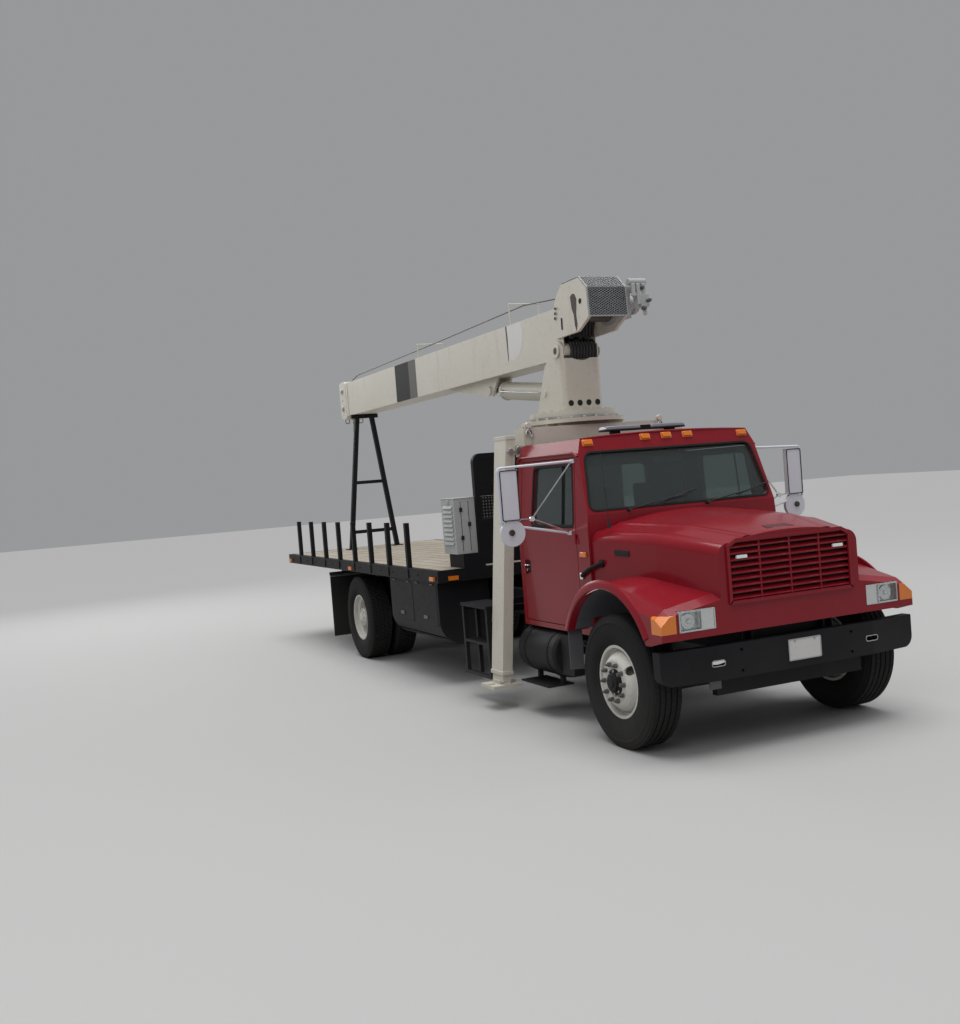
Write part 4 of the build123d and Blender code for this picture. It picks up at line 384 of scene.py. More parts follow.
def arc(x, y, z, radius, start=0, end=360, steps=36):
    """Points round an axis along Y, from start to end in degrees."""
    angles = [math.radians(start + (end - start) * step / steps) for step in range(steps + 1)]
    return [Vector((x + radius * math.cos(angle), y, z + radius * math.sin(angle))) for angle in angles]


def rounded_path(points, radius, steps=5):
    """The path with each corner replaced by a short arc."""
    points = [Vector(point) for point in points]
    path = [points[0]]
    for before, corner, after in zip(points, points[1:], points[2:]):
        reach = min(radius, (before - corner).length * 0.45, (after - corner).length * 0.45)
        path += bend(before, corner, after, reach, steps)
    return path + [points[-1]]


def bend(before, corner, after, reach, steps):
    """The short arc that cuts one corner."""
    start = corner + (before - corner).normalized() * reach
    end = corner + (after - corner).normalized() * reach
    shares = [step / steps for step in range(steps + 1)]
    return [start.lerp(corner, share).lerp(corner.lerp(end, share), share) for share in shares]


def rounded_outline(corners, radius, steps=6):
    """A closed outline with rounded corners, as (across, up) pairs."""
    spots = [Vector(corner) for corner in corners]
    arcs = [bend(spots[i - 1], spots[i], spots[(i + 1) % len(spots)], radius, steps) for i in range(len(spots))]
    return [tuple(point) for points in arcs for point in points]


def bar(points, radius, sides=12, closed=False, end_radius=None):
    """Sweeps a round bar along points. A hexagon is a bar with six sides."""
    points = [Vector(point) for point in points]
    count = len(points)
    rings = []
    side_way = None
    for index, point in enumerate(points):
        nearby = points[(index + 1) % count] if closed or index < count - 1 else point
        earlier = points[index - 1] if closed or index > 0 else point
        along = (nearby - earlier).normalized()
        side_way = side_way or along.orthogonal().normalized()
        side_way = (side_way - along * side_way.dot(along)).normalized()
        other_way = along.cross(side_way)
        size = radius + ((end_radius or radius) - radius) * index / max(1, count - 1)
        angles = [2 * math.pi * side / sides for side in range(sides)]
        rings.append(dots(point + (side_way * math.cos(a) + other_way * math.sin(a)) * size for a in angles))
    skin(rings, looped=closed)
    if not closed:
        form.faces.new(rings[0][::-1])
        form.faces.new(rings[-1])


def plate(outline, offset):
    """A flat plate: its outline is a list of points, and offset is its thickness as a vector."""
    near = dots(Vector(point) for point in outline)
    far = dots(Vector(point) + Vector(offset) for point in outline)
    form.faces.new(near)
    form.faces.new(far[::-1])
    skin([far, near])


def band(outline, width, height, lift, place):
    """A flat band inside a closed outline of (across, up) pairs, which place turns into points."""
    spots = [Vector(point) for point in outline]
    centre = sum(spots, Vector((0, 0))) / len(spots)
    rings = []
    for inset, raised in ((0.0, 0.0), (0.0, height), (width, height), (width, 0.0)):
        ring = []
        for index, point in enumerate(spots):
            along = (spots[(index + 1) % len(spots)] - spots[index - 1]).normalized()
            inward = Vector((-along.y, along.x))
            if inward.dot(centre - point) < 0:
                inward = -inward
            spot = point + inward * inset
            ring.append(place(spot.x, spot.y, lift + raised))
        rings.append(dots(ring))
    skin(rings, looped=True)


def mirrored():
    """Adds the same shape on the truck's other side."""
    copy = bmesh.ops.duplicate(form, geom=form.verts[:] + form.edges[:] + form.faces[:])
    for item in copy["geom"]:
        if isinstance(item, bmesh.types.BMVert):
            item.co.y = -item.co.y


def new_piece(name, material, body="chassis", bevel=0.0, segments=2, replaces=()):
    """Turns what was drawn into a piece of the truck, and empties the form."""
    bmesh.ops.recalc_face_normals(form, faces=form.faces)
    bmesh.ops.translate(form, verts=form.verts, vec=(FRONT_AXLE_X, 0, 0))
    mesh = bpy.data.meshes.new(name)
    form.to_mesh(mesh)
    form.clear()
    mesh.materials.append(material)
    mesh.shade_smooth()
    mesh.set_sharp_from_angle(angle=SHARP_ANGLE)
    piece = add_object(name, mesh)
    if bevel:
        edge = piece.modifiers.new("edges", "BEVEL")
        edge.width = bevel
        edge.segments = segments
        edge.limit_method = "ANGLE"
    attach(piece, body)
    if replaces:
        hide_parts(*replaces)
    return piece


# %% [markdown]
# ## Repeated details
# Bolts, nuts, tread blocks, slats and mesh wires repeat by rule, so Geometry Nodes make them.
# Two trees do it all: one sets copies in a ring and one sets them in a grid. Each has named
# inputs for its sizes. `Realize Instances` turns the copies into real faces, and the evaluated
# result goes into the open form as plain mesh.

# %% Geometry Nodes: ring and grid


def open_tree(name, inputs):
    """A geometry tree with named inputs. A text names a socket's type, a number is its first value."""
    tree = bpy.data.node_groups.new(name, "GeometryNodeTree")
    for way in ("INPUT", "OUTPUT"):
        tree.interface.new_socket("Geometry", in_out=way, socket_type="NodeSocketGeometry")
    for label, value in inputs.items():
        kind = {int: "Int", float: "Float"}.get(type(value), value)
        socket = tree.interface.new_socket(label, in_out="INPUT", socket_type=f"NodeSocket{kind}")
        if kind != value:
            socket.default_value = value
    return tree, tree.nodes.new("NodeGroupInput").outputs


def close_tree(tree, start, copies):
    """Turns the pattern, places it, makes it real and paints it."""
    placed = {"Geometry": copies, "Translation": start["Place"], "Rotation": start["Turn"]}
    real = add_node(tree, "GeometryNodeRealizeInstances", {0: add_node(tree, "GeometryNodeTransform", placed)})
    paint = add_node(tree, "GeometryNodeSetMaterial", {"Geometry": real, "Material": start["Material"]})
    add_node(tree, "NodeGroupOutput", {"Geometry": paint})
    return tree


def ring_tree():
    """Studs, nuts or blocks around the local Z axis, standing along it."""
    tree, start = open_tree("ring_of_studs", {
        "Count": 10, "Radius": 0.14, "Sides": 6, "Stud Radius": 0.016, "Stud Height": 0.03, "Spin": 0.0,
        "Flatten": 1.0, "Place": "Vector", "Turn": "Rotation", "Material": "Material",
    })
    circle = add_node(tree, "GeometryNodeMeshCircle", {"Vertices": start["Count"], "Radius": start["Radius"]})
    sizes = {"Vertices": start["Sides"], "Radius": start["Stud Radius"], "Depth": start["Stud Height"]}
    stud = add_node(tree, "GeometryNodeMeshCylinder", sizes)
    spin = add_node(tree, "ShaderNodeCombineXYZ", {"Z": start["Spin"]})
    spun = add_node(tree, "GeometryNodeTransform", {"Geometry": stud, "Rotation": spin})
    thin = add_node(tree, "ShaderNodeCombineXYZ", {"X": start["Flatten"], "Y": 1.0, "Z": 1.0})
    flat = add_node(tree, "GeometryNodeTransform", {"Geometry": spun, "Scale": thin})
    outward = add_node(
        tree, "FunctionNodeAlignRotationToVector", {"Vector": add_node(tree, "GeometryNodeInputPosition")},
        axis="X", pivot_axis="Z",
    )
    pattern = {"Points": circle, "Instance": flat, "Rotation": outward}
    return close_tree(tree, start, add_node(tree, "GeometryNodeInstanceOnPoints", pattern))


def grid_tree():
    """Boxes of one size in rows and columns in the local XY plane, each turned about its own Z."""
    tree, start = open_tree("grid_of_bars", {
        "Columns": 2, "Rows": 2, "Width": 1.0, "Height": 1.0, "Bar Size": "Vector", "Slant": 0.0,
        "Place": "Vector", "Turn": "Rotation", "Material": "Material",
    })
    grid = add_node(tree, "GeometryNodeMeshGrid", {
        "Vertices X": start["Columns"], "Vertices Y": start["Rows"], "Size X": start["Width"],
        "Size Y": start["Height"],
    })
    block = add_node(tree, "GeometryNodeMeshCube", {"Size": start["Bar Size"]})
    angles = add_node(tree, "ShaderNodeCombineXYZ", {"Z": start["Slant"]})
    slanted = add_node(tree, "GeometryNodeTransform", {"Geometry": block, "Rotation": angles})
    rows = add_node(tree, "GeometryNodeInstanceOnPoints", {"Points": grid, "Instance": slanted})
    return close_tree(tree, start, rows)


RING = ring_tree()
GRID = grid_tree()
FACE_AHEAD = (0.0, math.pi / 2, 0.0)  # local Z looks along +X
FACE_OUT = {-1: (math.pi / 2, 0.0, 0.0), 1: (-math.pi / 2, 0.0, 0.0)}  # local Z looks right or left
SIDES = (("right", -1), ("left", 1))


def grow(tree, material, **values):
    """Draws what a tree makes from these inputs; its labels are written with underscores."""
    holder = add_object("holder", bpy.data.meshes.new("holder"))
    modifier = holder.modifiers.new("nodes", "NODES")
    modifier.node_group = tree
    labels = {item.name: item.identifier for item in tree.interface.items_tree if item.in_out == "INPUT"}
    for label, value in values.items():
        modifier[labels[label.replace("_", " ")]] = value
    modifier[labels["Material"]] = material
    graph = bpy.context.evaluated_depsgraph_get()
    mesh = bpy.data.meshes.new_from_object(holder.evaluated_get(graph), depsgraph=graph)
    bpy.data.objects.remove(holder)
    for face in mesh.polygons:
        face.material_index = 0
    form.from_mesh(mesh)


# %% [markdown]
# ## Tyres and wheels
# A truck tyre is a body of revolution with a bulging side wall, two moulded rings and a tread of
# separate blocks. The body is a profile turned about the axle. The blocks come from the ring
# tree, one ring for each rib, and half a block out of step with their neighbours.

# %% Tyre profile and tread
AXLE_Z = TYRE_RADIUS = 0.520
TYRE_PROFILE = (  # distance from the tyre's middle plane, radius
    (0.1, 0.284), (0.116, 0.288), (0.127, 0.302), (0.13, 0.318), (0.1345, 0.322), (0.1365, 0.336),
    (0.1385, 0.34), (0.1398, 0.385), (0.139, 0.43), (0.136, 0.452), (0.1385, 0.456), (0.137, 0.466),
    (0.133, 0.47), (0.129, 0.488), (0.123, 0.502), (0.112, 0.508),
)
RIBS = (-0.098, -0.050, 0.0, 0.050, 0.098)
RIB_WIDTH = 0.037
BLOCKS = 68
BLOCK_DEPTH = 0.024


def turned(x, y, profile, closed=False, turns=112):
    """Revolves a profile of (across, radius) about an axle."""
    angles = [2 * math.pi * step / turns for step in range(turns)]
    rings = [
        dots((x + radius * math.cos(a), y + across, AXLE_Z + radius * math.sin(a)) for across, radius in profile)
        for a in angles
    ]
    skin(rings, looped=True, ring_closed=closed)


def tyre(x, y, block_share):
    """A tyre whose blocks take up this share of the tread."""
    turned(x, y, [*TYRE_PROFILE, *((-across, radius) for across, radius in reversed(TYRE_PROFILE))], closed=True)
    step = 2 * math.pi / BLOCKS
    block = step * TYRE_RADIUS * block_share
    for index, rib in enumerate(RIBS):
        grow(
            RING, tyre_rubber, Count=BLOCKS, Radius=TYRE_RADIUS - BLOCK_DEPTH / 2, Sides=4,
            Stud_Radius=block / math.sqrt(2), Stud_Height=RIB_WIDTH, Spin=math.pi / 4, Flatten=BLOCK_DEPTH / block,
            Place=(x, y + rib, AXLE_Z), Turn=(math.pi / 2, (index % 2) * step / 2, 0.0),
        )


# %% Six tyres
FRONT_WHEEL_Y = 1.035
REAR_OUTER_Y = 1.060
REAR_INNER_Y = 0.725
REAR_AXLE = -6.3
for side, way in SIDES:
    tyre(0, way * FRONT_WHEEL_Y, block_share=0.96)
    new_piece(f"tread_front_{side}", tyre_rubber, f"front_wheel_{side}", replaces=(f"tyre_front_{side}",))
    tyre(REAR_AXLE, way * REAR_OUTER_Y, block_share=0.78)
    tyre(REAR_AXLE, way * REAR_INNER_Y, block_share=0.78)
    new_piece(f"tread_rear_{side}", tyre_rubber, f"rear_wheels_{side}", replaces=(f"tyres_rear_{side}",))
print("tyres", 6, "with", BLOCKS * len(RIBS), "blocks each")

# %% [markdown]
# ### Nuts and hubs
# Ten nuts clamp each disc to its hub. On the steered wheels the hub fills the disc's bore, and a
# cap with an oil window closes its bearing. On the driven wheels the axle shaft's flange closes
# the hub with eight bolts of its own.

# %% Wheel nuts, hubs and caps
NUT_CIRCLE = 0.1429
HUB_CAP_FRONT = (
    (0, 0.104), (0.012, 0.1), (0.016, 0.074), (0.04, 0.07), (0.046, 0.052), (0.046, 0.04), (0.052, 0.038), (0.054, 0),
)
HUB_CAP_REAR = ((0, 0.108), (0.01, 0.106), (0.014, 0.07), (0.024, 0.06), (0.028, 0))

for side, way in SIDES:
    turn = FACE_OUT[way]
    for axle, body, nut_y, hub_y, cap, paint in (
        (0, f"front_wheel_{side}", 1.1815, 1.173, HUB_CAP_FRONT, black),
        (REAR_AXLE, f"rear_wheels_{side}", 0.9055, 1.140, HUB_CAP_REAR, wheel_white),
    ):
        nuts = {"Count": 10, "Radius": NUT_CIRCLE, "Turn": turn}
        place = (axle, way * (nut_y + 0.013), AXLE_Z)
        grow(RING, nut_steel, Stud_Radius=0.0195, Stud_Height=0.026, Place=place, **nuts)
        place = (axle, way * (nut_y + 0.02), AXLE_Z)
        grow(RING, nut_steel, Sides=10, Stud_Radius=0.0105, Stud_Height=0.05, Place=place, **nuts)
        new_piece(f"nuts_{body}", nut_steel, body)
        turned(axle, way * hub_y, [(way * across, radius) for across, radius in cap[:-1]], turns=40)
        form.faces.new(dots(arc(axle, way * (hub_y + cap[-1][0]), AXLE_Z, cap[-2][1], steps=24)[:-1]))
        new_piece(f"hub_{body}", paint, body, bevel=0.002)
        place = (axle, way * (hub_y + 0.012), AXLE_Z)
        grow(RING, steel, Count=8, Radius=0.087, Stud_Radius=0.01, Stud_Height=0.018, Place=place, Turn=turn)
        new_piece(f"hub_bolts_{body}", steel, body)

# %% [markdown]
# ## Windscreen
# A one-piece screen is held by a rubber profile. Two wipers rest along its foot, and the inside
# mirror hangs behind it. Everything lies on the screen's own plane, so a small function turns a
# place on the glass into a place in space.

# %% Windscreen rubber, wipers and inside mirror
SCREEN_FOOT_X = -0.62
SCREEN_FOOT_Z = 1.8
SCREEN_SLOPE = 0.33
SCREEN_NORMAL = Vector((1.0, 0.0, SCREEN_SLOPE)).normalized()


def on_screen(y, z, lift=0.0):
    """A point on the windscreen's outer plane, lifted along its normal."""
    return Vector((SCREEN_FOOT_X - SCREEN_SLOPE * (z - SCREEN_FOOT_Z), y, z)) + SCREEN_NORMAL * lift


screen_outline = rounded_outline([(-0.94, 1.822), (0.94, 1.822), (0.863, 2.332), (-0.863, 2.332)], 0.085)
band(screen_outline, 0.02, 0.008, -0.002, on_screen)
new_piece("screen_rubber", rubber, bevel=0.003)

for pivot_y, tip_y in ((-0.56, 0.1), (0.24, 0.86)):
    pivot, tip = on_screen(pivot_y, 1.812, 0.022), on_screen(tip_y, 1.905, 0.03)
    arm = [pivot, pivot.lerp(tip, 0.45) + SCREEN_NORMAL * 0.018, tip]
    bar(rounded_path(arm, 0.1), 0.006, 8, end_radius=0.004)
    bar([on_screen(tip_y - 0.3, 1.855, 0.016), on_screen(tip_y + 0.05, 1.935, 0.016)], 0.007, 6)
    bar([pivot - SCREEN_NORMAL * 0.02, pivot + SCREEN_NORMAL * 0.012], 0.016)
new_piece("wipers", trim)

box((-0.865, -0.15, 2.185), (-0.845, 0.15, 2.255))
bar([(-0.85, 0, 2.25), (-0.815, 0, 2.31)], 0.008, 8)
new_piece("inside_mirror", trim, bevel=0.006)

# %% [markdown]
# ## Cab details
# Small parts tell the eye how big a cab is: the drip rail over the doors, door handles, seams,
# marker lamps on the brow, the whip antenna and the arms that carry the mirrors.

# %% Drip rails and brow
rail = [(-0.795, -0.922, 2.295), (-0.86, -0.926, 2.33), (-1.9, -0.926, 2.33), (-1.925, -0.926, 2.29)]
bar(rounded_path(rail, 0.05), 0.01, 8)
mirrored()
new_piece("drip_rails", red)

BROW_HALF = 0.86
brow_spots = [step * 0.086 - BROW_HALF for step in range(21)]
bar([(-0.838, y, 2.466 - 0.028 * (y / BROW_HALF) ** 2) for y in brow_spots], 0.01, 8)
new_piece("brow_bead", red)

# %% Door handles and windows
for side, way in SIDES:
    door = f"door_{side}"
    box((-1.817, way * 0.971 - 0.003, 1.28), (-1.732, way * 0.971 + 0.003, 1.39))
    new_piece(f"handle_plate_{side}", black, door, bevel=0.002)
    grip = ((-1.812, 0.972, 1.345), (-1.807, 0.996, 1.348), (-1.742, 0.996, 1.348), (-1.737, 0.972, 1.345))
    bar(rounded_path([(x, way * y, z) for x, y, z in grip], 0.02), 0.007, 8)
    bar([(-1.775, way * 0.97, 1.303), (-1.775, way * 0.986, 1.303)], 0.012, 16)
    new_piece(f"handle_{side}", chrome, door)

    def on_door(forward, up, lift, way=way):
        """A point on the door's skin, which leans inwards above the window's foot."""
        lean = max(0.0, up - 1.69) * 0.058 / 0.63
        return Vector((forward, way * (0.97 - lean + lift), up))

    window = rounded_outline([(-0.85, 1.7), (-0.888, 2.244), (-1.624, 2.244), (-1.667, 1.7)], 0.065)
    band(window, 0.022, 0.006, -0.002, on_door)
    new_piece(f"window_rubber_{side}", rubber, door, bevel=0.002)
    bar([on_door(-1.085, 1.715, -0.012), on_door(-1.085, 2.235, -0.012)], 0.008, 6)
    box((-1.655, way * 0.966 - 0.004, 1.69), (-0.862, way * 0.966 + 0.006, 1.706))
    new_piece(f"window_bars_{side}", rubber, door)

# %% Roof markers, light bar and antenna
for y, z in ((-0.8, 2.405), (-0.22, 2.425), (0.0, 2.427), (0.22, 2.425), (0.8, 2.405)):
    for low, high, wide, tall in ((-0.004, 0.008, 0.052, 0.028), (0.008, 0.022, 0.044, 0.021)):
        lens = ((-wide, -tall), (wide, -tall), (wide, tall), (-wide, tall))
        plate([on_screen(y + across, z + up, low) for across, up in lens], SCREEN_NORMAL * (high - low))
new_piece("roof_markers", amber, bevel=0.006, segments=3, replaces=("roof_lamps",))

for y in (-0.29, 0.29):
    box((-1.25, y - 0.03, 2.418), (-1.15, y + 0.03, 2.506))
box((-1.27, -0.42, 2.503), (-1.13, 0.42, 2.514))
box((-1.268, -0.05, 2.514), (-1.132, 0.05, 2.543))
new_piece("light_bar_feet", black, bevel=0.003)
for low, high in ((-0.42, -0.055), (0.055, 0.42)):
    box((-1.272, low, 2.514), (-1.128, high, 2.548), taper=0.94)
new_piece("light_bar", bar_glass, bevel=0.01, segments=3)

bar([(-0.437, -0.87, 1.69), (-0.441, -0.87, 1.745)], 0.013, 10)
bar([(-0.441, -0.87, 1.745), (-0.497, -0.87, 2.36)], 0.0035, 6, end_radius=0.0018)
new_piece("antenna", trim, "hood")

# %% Mirror arms and glass
MIRROR_X = -0.985


def facing(x, way=1, y=0.0):
    """Turns (across, up) into points on a plane that faces ahead at x."""
    return lambda across, up, lift: Vector((x + lift, y + way * across, up))


def oblong(left, low, right, high, radius, steps=6):
    """A rectangle's outline with rounded corners."""
    return rounded_outline([(left, low), (right, low), (right, high), (left, high)], radius, steps)


for side, way in SIDES:
    door = f"door_{side}"
    joint = Vector((-0.971, way * 1.3, 1.8))
    bar([(MIRROR_X, way * 1.565, 1.806), joint, (-0.919, way * 0.975, 1.66)], 0.009, 8)
    bar([(-0.918, way * 0.93, 2.24), joint], 0.008, 8)
    bar([joint - Vector((0.012, 0, 0)), joint + Vector((0.012, 0, 0))], 0.022, 16)
    new_piece(f"mirror_arms_{side}", chrome, door)
    bar([(MIRROR_X + 0.014, way * 1.5, 1.7), (MIRROR_X + 0.032, way * 1.5, 1.7)], 0.026, 20)
    new_piece(f"mirror_hub_{side}", rust, door, bevel=0.003)
    box((MIRROR_X - 0.026, way * 1.495 - 0.078, 1.81), (MIRROR_X - 0.0235, way * 1.495 + 0.078, 2.214))
    bar([(MIRROR_X - 0.0185, way * 1.485, 1.695), (MIRROR_X - 0.0165, way * 1.485, 1.695)], 0.102, 32)
    new_piece(f"mirror_glass_{side}", mirror_glass, door)
    band(oblong(-0.084, 1.799, 0.084, 2.225, 0.02, 4), 0.008, 0.005, 0.0, facing(MIRROR_X + 0.0225, y=way * 1.495))
    new_piece(f"mirror_edge_{side}", trim, door)

# %% [markdown]
# ## Hood, fenders and grille
# The hood is one moulding of glass fibre. Its panels show as soft ridges: one along each shoulder
# from the screen to the nose, and a lip round each wheel arch. Both are thin forms laid on the
# CAD skin, so the hood's own shape carries them.

# %% Ridges on the hood's shoulders
HOOD_SKIN = (  # forward, half width, height of the shoulder and of the middle
    (-0.613, 0.945, 1.668, 1.785), (0.15, 0.815, 1.64, 1.722), (0.72, 0.655, 1.56, 1.618),
)
RIDGE = ((-0.05, -0.001), (-0.022, 0.005), (0.0, 0.009), (0.014, 0.006), (0.026, -0.001))  # across, up


def hood_part(forward):
    """The two sections of the hood on either side of a place, and how far it lies between them."""
    first, second = HOOD_SKIN[:2] if forward <= HOOD_SKIN[1][0] else HOOD_SKIN[1:]
    return first, second, (forward - first[0]) / (second[0] - first[0])


def hood_top(forward, share):
    """A point on the hood's top; share runs from 0 on the centre line to 1 where the shoulder bends."""
    first, second, part = hood_part(forward)
    spots = []
    for _, half, low, high in (first, second):
        reach, rise = half - 0.1, high - low
        radius = (reach * reach + rise * rise) / (2 * rise)
        across = share * reach
        spots.append(Vector((forward, across, high - radius + math.sqrt(radius * radius - across * across))))
    return spots[0].lerp(spots[1], part)


def hood_side(forward, up, way, lift=0.0):
    """A point on the hood's flat side."""
    first, second, part = hood_part(forward)
    return Vector((forward, way * (first[1] + (second[1] - first[1]) * part + lift), up))


for way in (-1, 1):
    rings = []
    for step in range(21):
        forward, share = -0.6 + step * 0.0655, 0.8 - 0.1 * step / 20
        middle_y = hood_top(forward, share).y
        ring = [(hood_top(forward, min(1.0, share + offset / middle_y)), lift) for offset, lift in RIDGE]
        rings.append(dots((spot.x, way * spot.y, spot.z + lift) for spot, lift in ring))
    skin(rings, ring_closed=False)
new_piece("hood_ridges", red, "hood")

# %% Wheel arches: lips and liners
ARCH_X, ARCH_Z, ARCH_RADIUS = -0.09, 0.6, 0.64
LINER_INNER, LINER_OUTER = 0.566, 1.13

rings = []
inner_arc = arc(ARCH_X, 0, ARCH_Z, ARCH_RADIUS + 0.002, 27, 156)
outer_arc = arc(ARCH_X, 0, ARCH_Z, ARCH_RADIUS + 0.072, 27, 156)
for inner, outer in zip(inner_arc, outer_arc):
    near, far = inner.lerp(outer, 0.18), inner.lerp(outer, 0.8)
    lip = ((inner, 1.172), (inner, 1.196), (near, 1.203), (far, 1.199), (outer, 1.188), (outer, 1.172))
    rings.append(dots((spot.x, -y, spot.z) for spot, y in lip))
skin(rings)
form.faces.new(rings[0])
form.faces.new(rings[-1][::-1])
mirrored()
new_piece("arch_lips", red, "hood")

roof = arc(ARCH_X, 0, ARCH_Z, ARCH_RADIUS - 0.003, 25, 155)
for first, second in zip(roof, roof[1:]):
    panel = ((first, LINER_INNER), (second, LINER_INNER), (second, LINER_OUTER), (first, LINER_OUTER))
    plate([(spot.x, -y, spot.z) for spot, y in panel], (0, 0, -0.0012))
plate([(spot.x, -LINER_INNER, spot.z) for spot in roof], (0, 0.0015, 0))
mirrored()
new_piece("arch_liners", guard_grey, "hood")

# %% Hood slot, latches, side markers and vents
# The slot is a thin dark-red plate: painted shade in the hood's recess.
slot = ((0.55, -0.11), (0.55, 0.11), (0.636, 0.13), (0.636, -0.13))
plate([hood_top(x, 0.0) + Vector((0, y, 0.0045 - abs(y) * 0.035)) for x, y in slot], (0, 0, -0.006))
new_piece("hood_slot", shaded_slot_red, "hood")

for side, way in SIDES:
    strap = [(x, way * y, z) for x, y, z in ((-0.745, 0.984, 1.295), (-0.69, 0.996, 1.322), (-0.6, 0.985, 1.362))]
    bar(rounded_path([*strap, hood_side(-0.47, 1.412, way, 0.012)], 0.06), 0.018, 10)
    bar([hood_side(-0.5, 1.4, way, -0.002), hood_side(-0.5, 1.4, way, 0.016)], 0.034, 20)
    new_piece(f"hood_latch_{side}", rubber, "hood", bevel=0.003)
    box((-0.785, way * 0.978 - 0.01, 1.262), (-0.735, way * 0.978 + 0.01, 1.318))
    new_piece(f"latch_hook_{side}", chrome, bevel=0.004)
    box((-0.772, way * 0.976 - 0.01, 1.45), (-0.668, way * 0.976 + 0.01, 1.492), taper=0.9)
    new_piece(f"side_marker_{side}", amber, bevel=0.005)
    vent = ((-0.33, 1.47), (-0.16, 1.462), (-0.16, 1.508), (-0.33, 1.516))
    plate([hood_side(x, z, way, 0.002) for x, z in vent], (0, way * 0.008, 0))
    new_piece(f"side_vent_{side}", trim, "hood", bevel=0.003)

# %% [markdown]
# ### Grille and lamps
# The grille is a frame with thin slats across it, leaning back so that rain runs off. Each
# headlamp is a bright reflector behind a clear lens. Its inner third is a plain silver panel.

# %% Grille slats, rim and small lamps
GRILLE_X = 0.72
GRILLE_LOW, GRILLE_HIGH = 1.12, 1.555
SLATS = 9

rim = [(-0.585, 1.104), (0.585, 1.104), (0.585, 1.54), (0.5, 1.59), (-0.5, 1.59), (-0.585, 1.54)]
band(rounded_outline(rim, 0.012), 0.026, 0.02, -0.004, facing(GRILLE_X))
new_piece("grille_rim", red, "hood", bevel=0.006, segments=3)

for index in range(SLATS):
    z = GRILLE_LOW + 0.026 + index * (GRILLE_HIGH - GRILLE_LOW - 0.052) / (SLATS - 1)
    back, front = (GRILLE_X - 0.034, z + 0.01), (GRILLE_X + 0.004, z - 0.012)
    for low, high in ((-0.558, -0.285), (-0.278, -0.004), (0.004, 0.278), (0.285, 0.558)):
        slat = ((back, low), (front, low), (front, high), (back, high))
        plate([(edge[0], y, edge[1]) for edge, y in slat], (0.004, 0, 0.011))
for y in (-0.2815, 0.0, 0.2815):
    box((GRILLE_X - 0.03, y - 0.006, GRILLE_LOW), (GRILLE_X + 0.004, y + 0.006, GRILLE_HIGH))
new_piece("grille_slats", red, "hood", bevel=0.0015, segments=1, replaces=("grille",))
box((GRILLE_X - 0.052, -0.575, GRILLE_LOW - 0.004), (GRILLE_X - 0.046, 0.575, GRILLE_HIGH + 0.004))
new_piece("grille_screen", dark_screen_and_painted_shade, "hood")

for y in (-0.45, 0.458):
    box((GRILLE_X - 0.004, y - 0.048, 1.438), (GRILLE_X + 0.016, y + 0.048, 1.462), taper=0.94)
new_piece("nose_lamps", clear_lens, "hood", bevel=0.002)

# %% Headlamps
LAMP_Y = 0.875
LENS_INNER_Y = 0.838
BULB_X = GRILLE_X - 0.04
for side, way in SIDES:
    band(oblong(0.716, 0.95, 1.034, 1.106, 0.008, 3), 0.005, 0.012, -0.01, facing(GRILLE_X, way))
    band(oblong(LENS_INNER_Y, 0.956, 1.03, 1.1, 0.012, 3), 0.006, 0.01, -0.004, facing(GRILLE_X, way))
    new_piece(f"headlamp_bezel_{side}", reflector, "hood", bevel=0.002)
    box((GRILLE_X - 0.085, way * LAMP_Y - 0.157, 0.95), (BULB_X, way * LAMP_Y + 0.157, 1.106))
    inner, outer = sorted((way * 0.719, way * LENS_INNER_Y))
    box((BULB_X, inner, 0.954), (GRILLE_X - 0.006, outer, 1.102))
    new_piece(f"headlamp_bowl_{side}", reflector, "hood", replaces=("headlamps",) if way < 0 else ())
    inner, outer = sorted((way * (LENS_INNER_Y + 0.006), way * 1.026))
    box((GRILLE_X - 0.01, inner, 0.961), (GRILLE_X - 0.002, outer, 1.095))
    new_piece(f"headlamp_lens_{side}", lamp_glass, "hood", bevel=0.002)
    for length, radius, sides in ((0.008, 0.062, 32), (0.02, 0.018, 20)):
        bar([(BULB_X, way * 0.936, 1.024), (BULB_X + length, way * 0.936, 1.024)], radius, sides)
    new_piece(f"headlamp_bulb_{side}", chrome, "hood", bevel=0.004)

# %% [markdown]
# ## Bumper
# A pressed steel channel. Chains have scratched the paint off round its two slots, and a blank
# pale plate hangs a little left of the middle.

# %% Bumper slots, plates and bolts
FACE_X = 0.74
for y in (-0.728, 0.728):
    band(oblong(y - 0.062, 0.668, y + 0.062, 0.716, 0.023), 0.007, 0.004, -0.003, facing(FACE_X))
new_piece("slot_edges", steel, bevel=0.001)

box((FACE_X + 0.001, -0.09, 0.622), (FACE_X + 0.004, 0.218, 0.782))
new_piece("front_plate", plate_paint, bevel=0.002)
band(oblong(-0.092, 0.62, 0.22, 0.784, 0.012, 3), 0.008, 0.005, 0.001, facing(FACE_X))
for y in (-0.03, 0.158):
    bar([(FACE_X + 0.003, y, 0.768), (FACE_X + 0.01, y, 0.768)], 0.007, 6)
new_piece("plate_rim", steel)
box((0.64, -0.758, 0.487), (0.655, -0.657, 0.553))
new_piece("low_plate", guard_grey, bevel=0.002)


def bolt(material, place, turn, radius, height):
    """One hexagon head: a ring with no width, whose three copies coincide."""
    grow(RING, material, Count=3, Radius=0.0001, Stud_Radius=radius, Stud_Height=height, Place=place, Turn=turn)


for y in (-0.98, -0.52, 0.52, 0.98):
    for z in (0.615, 0.77):
        bolt(black, (FACE_X - (0.035 if abs(y) > 0.9 else -0.002), y, z), FACE_AHEAD, 0.01, 0.006)
new_piece("bumper_bolts", black)

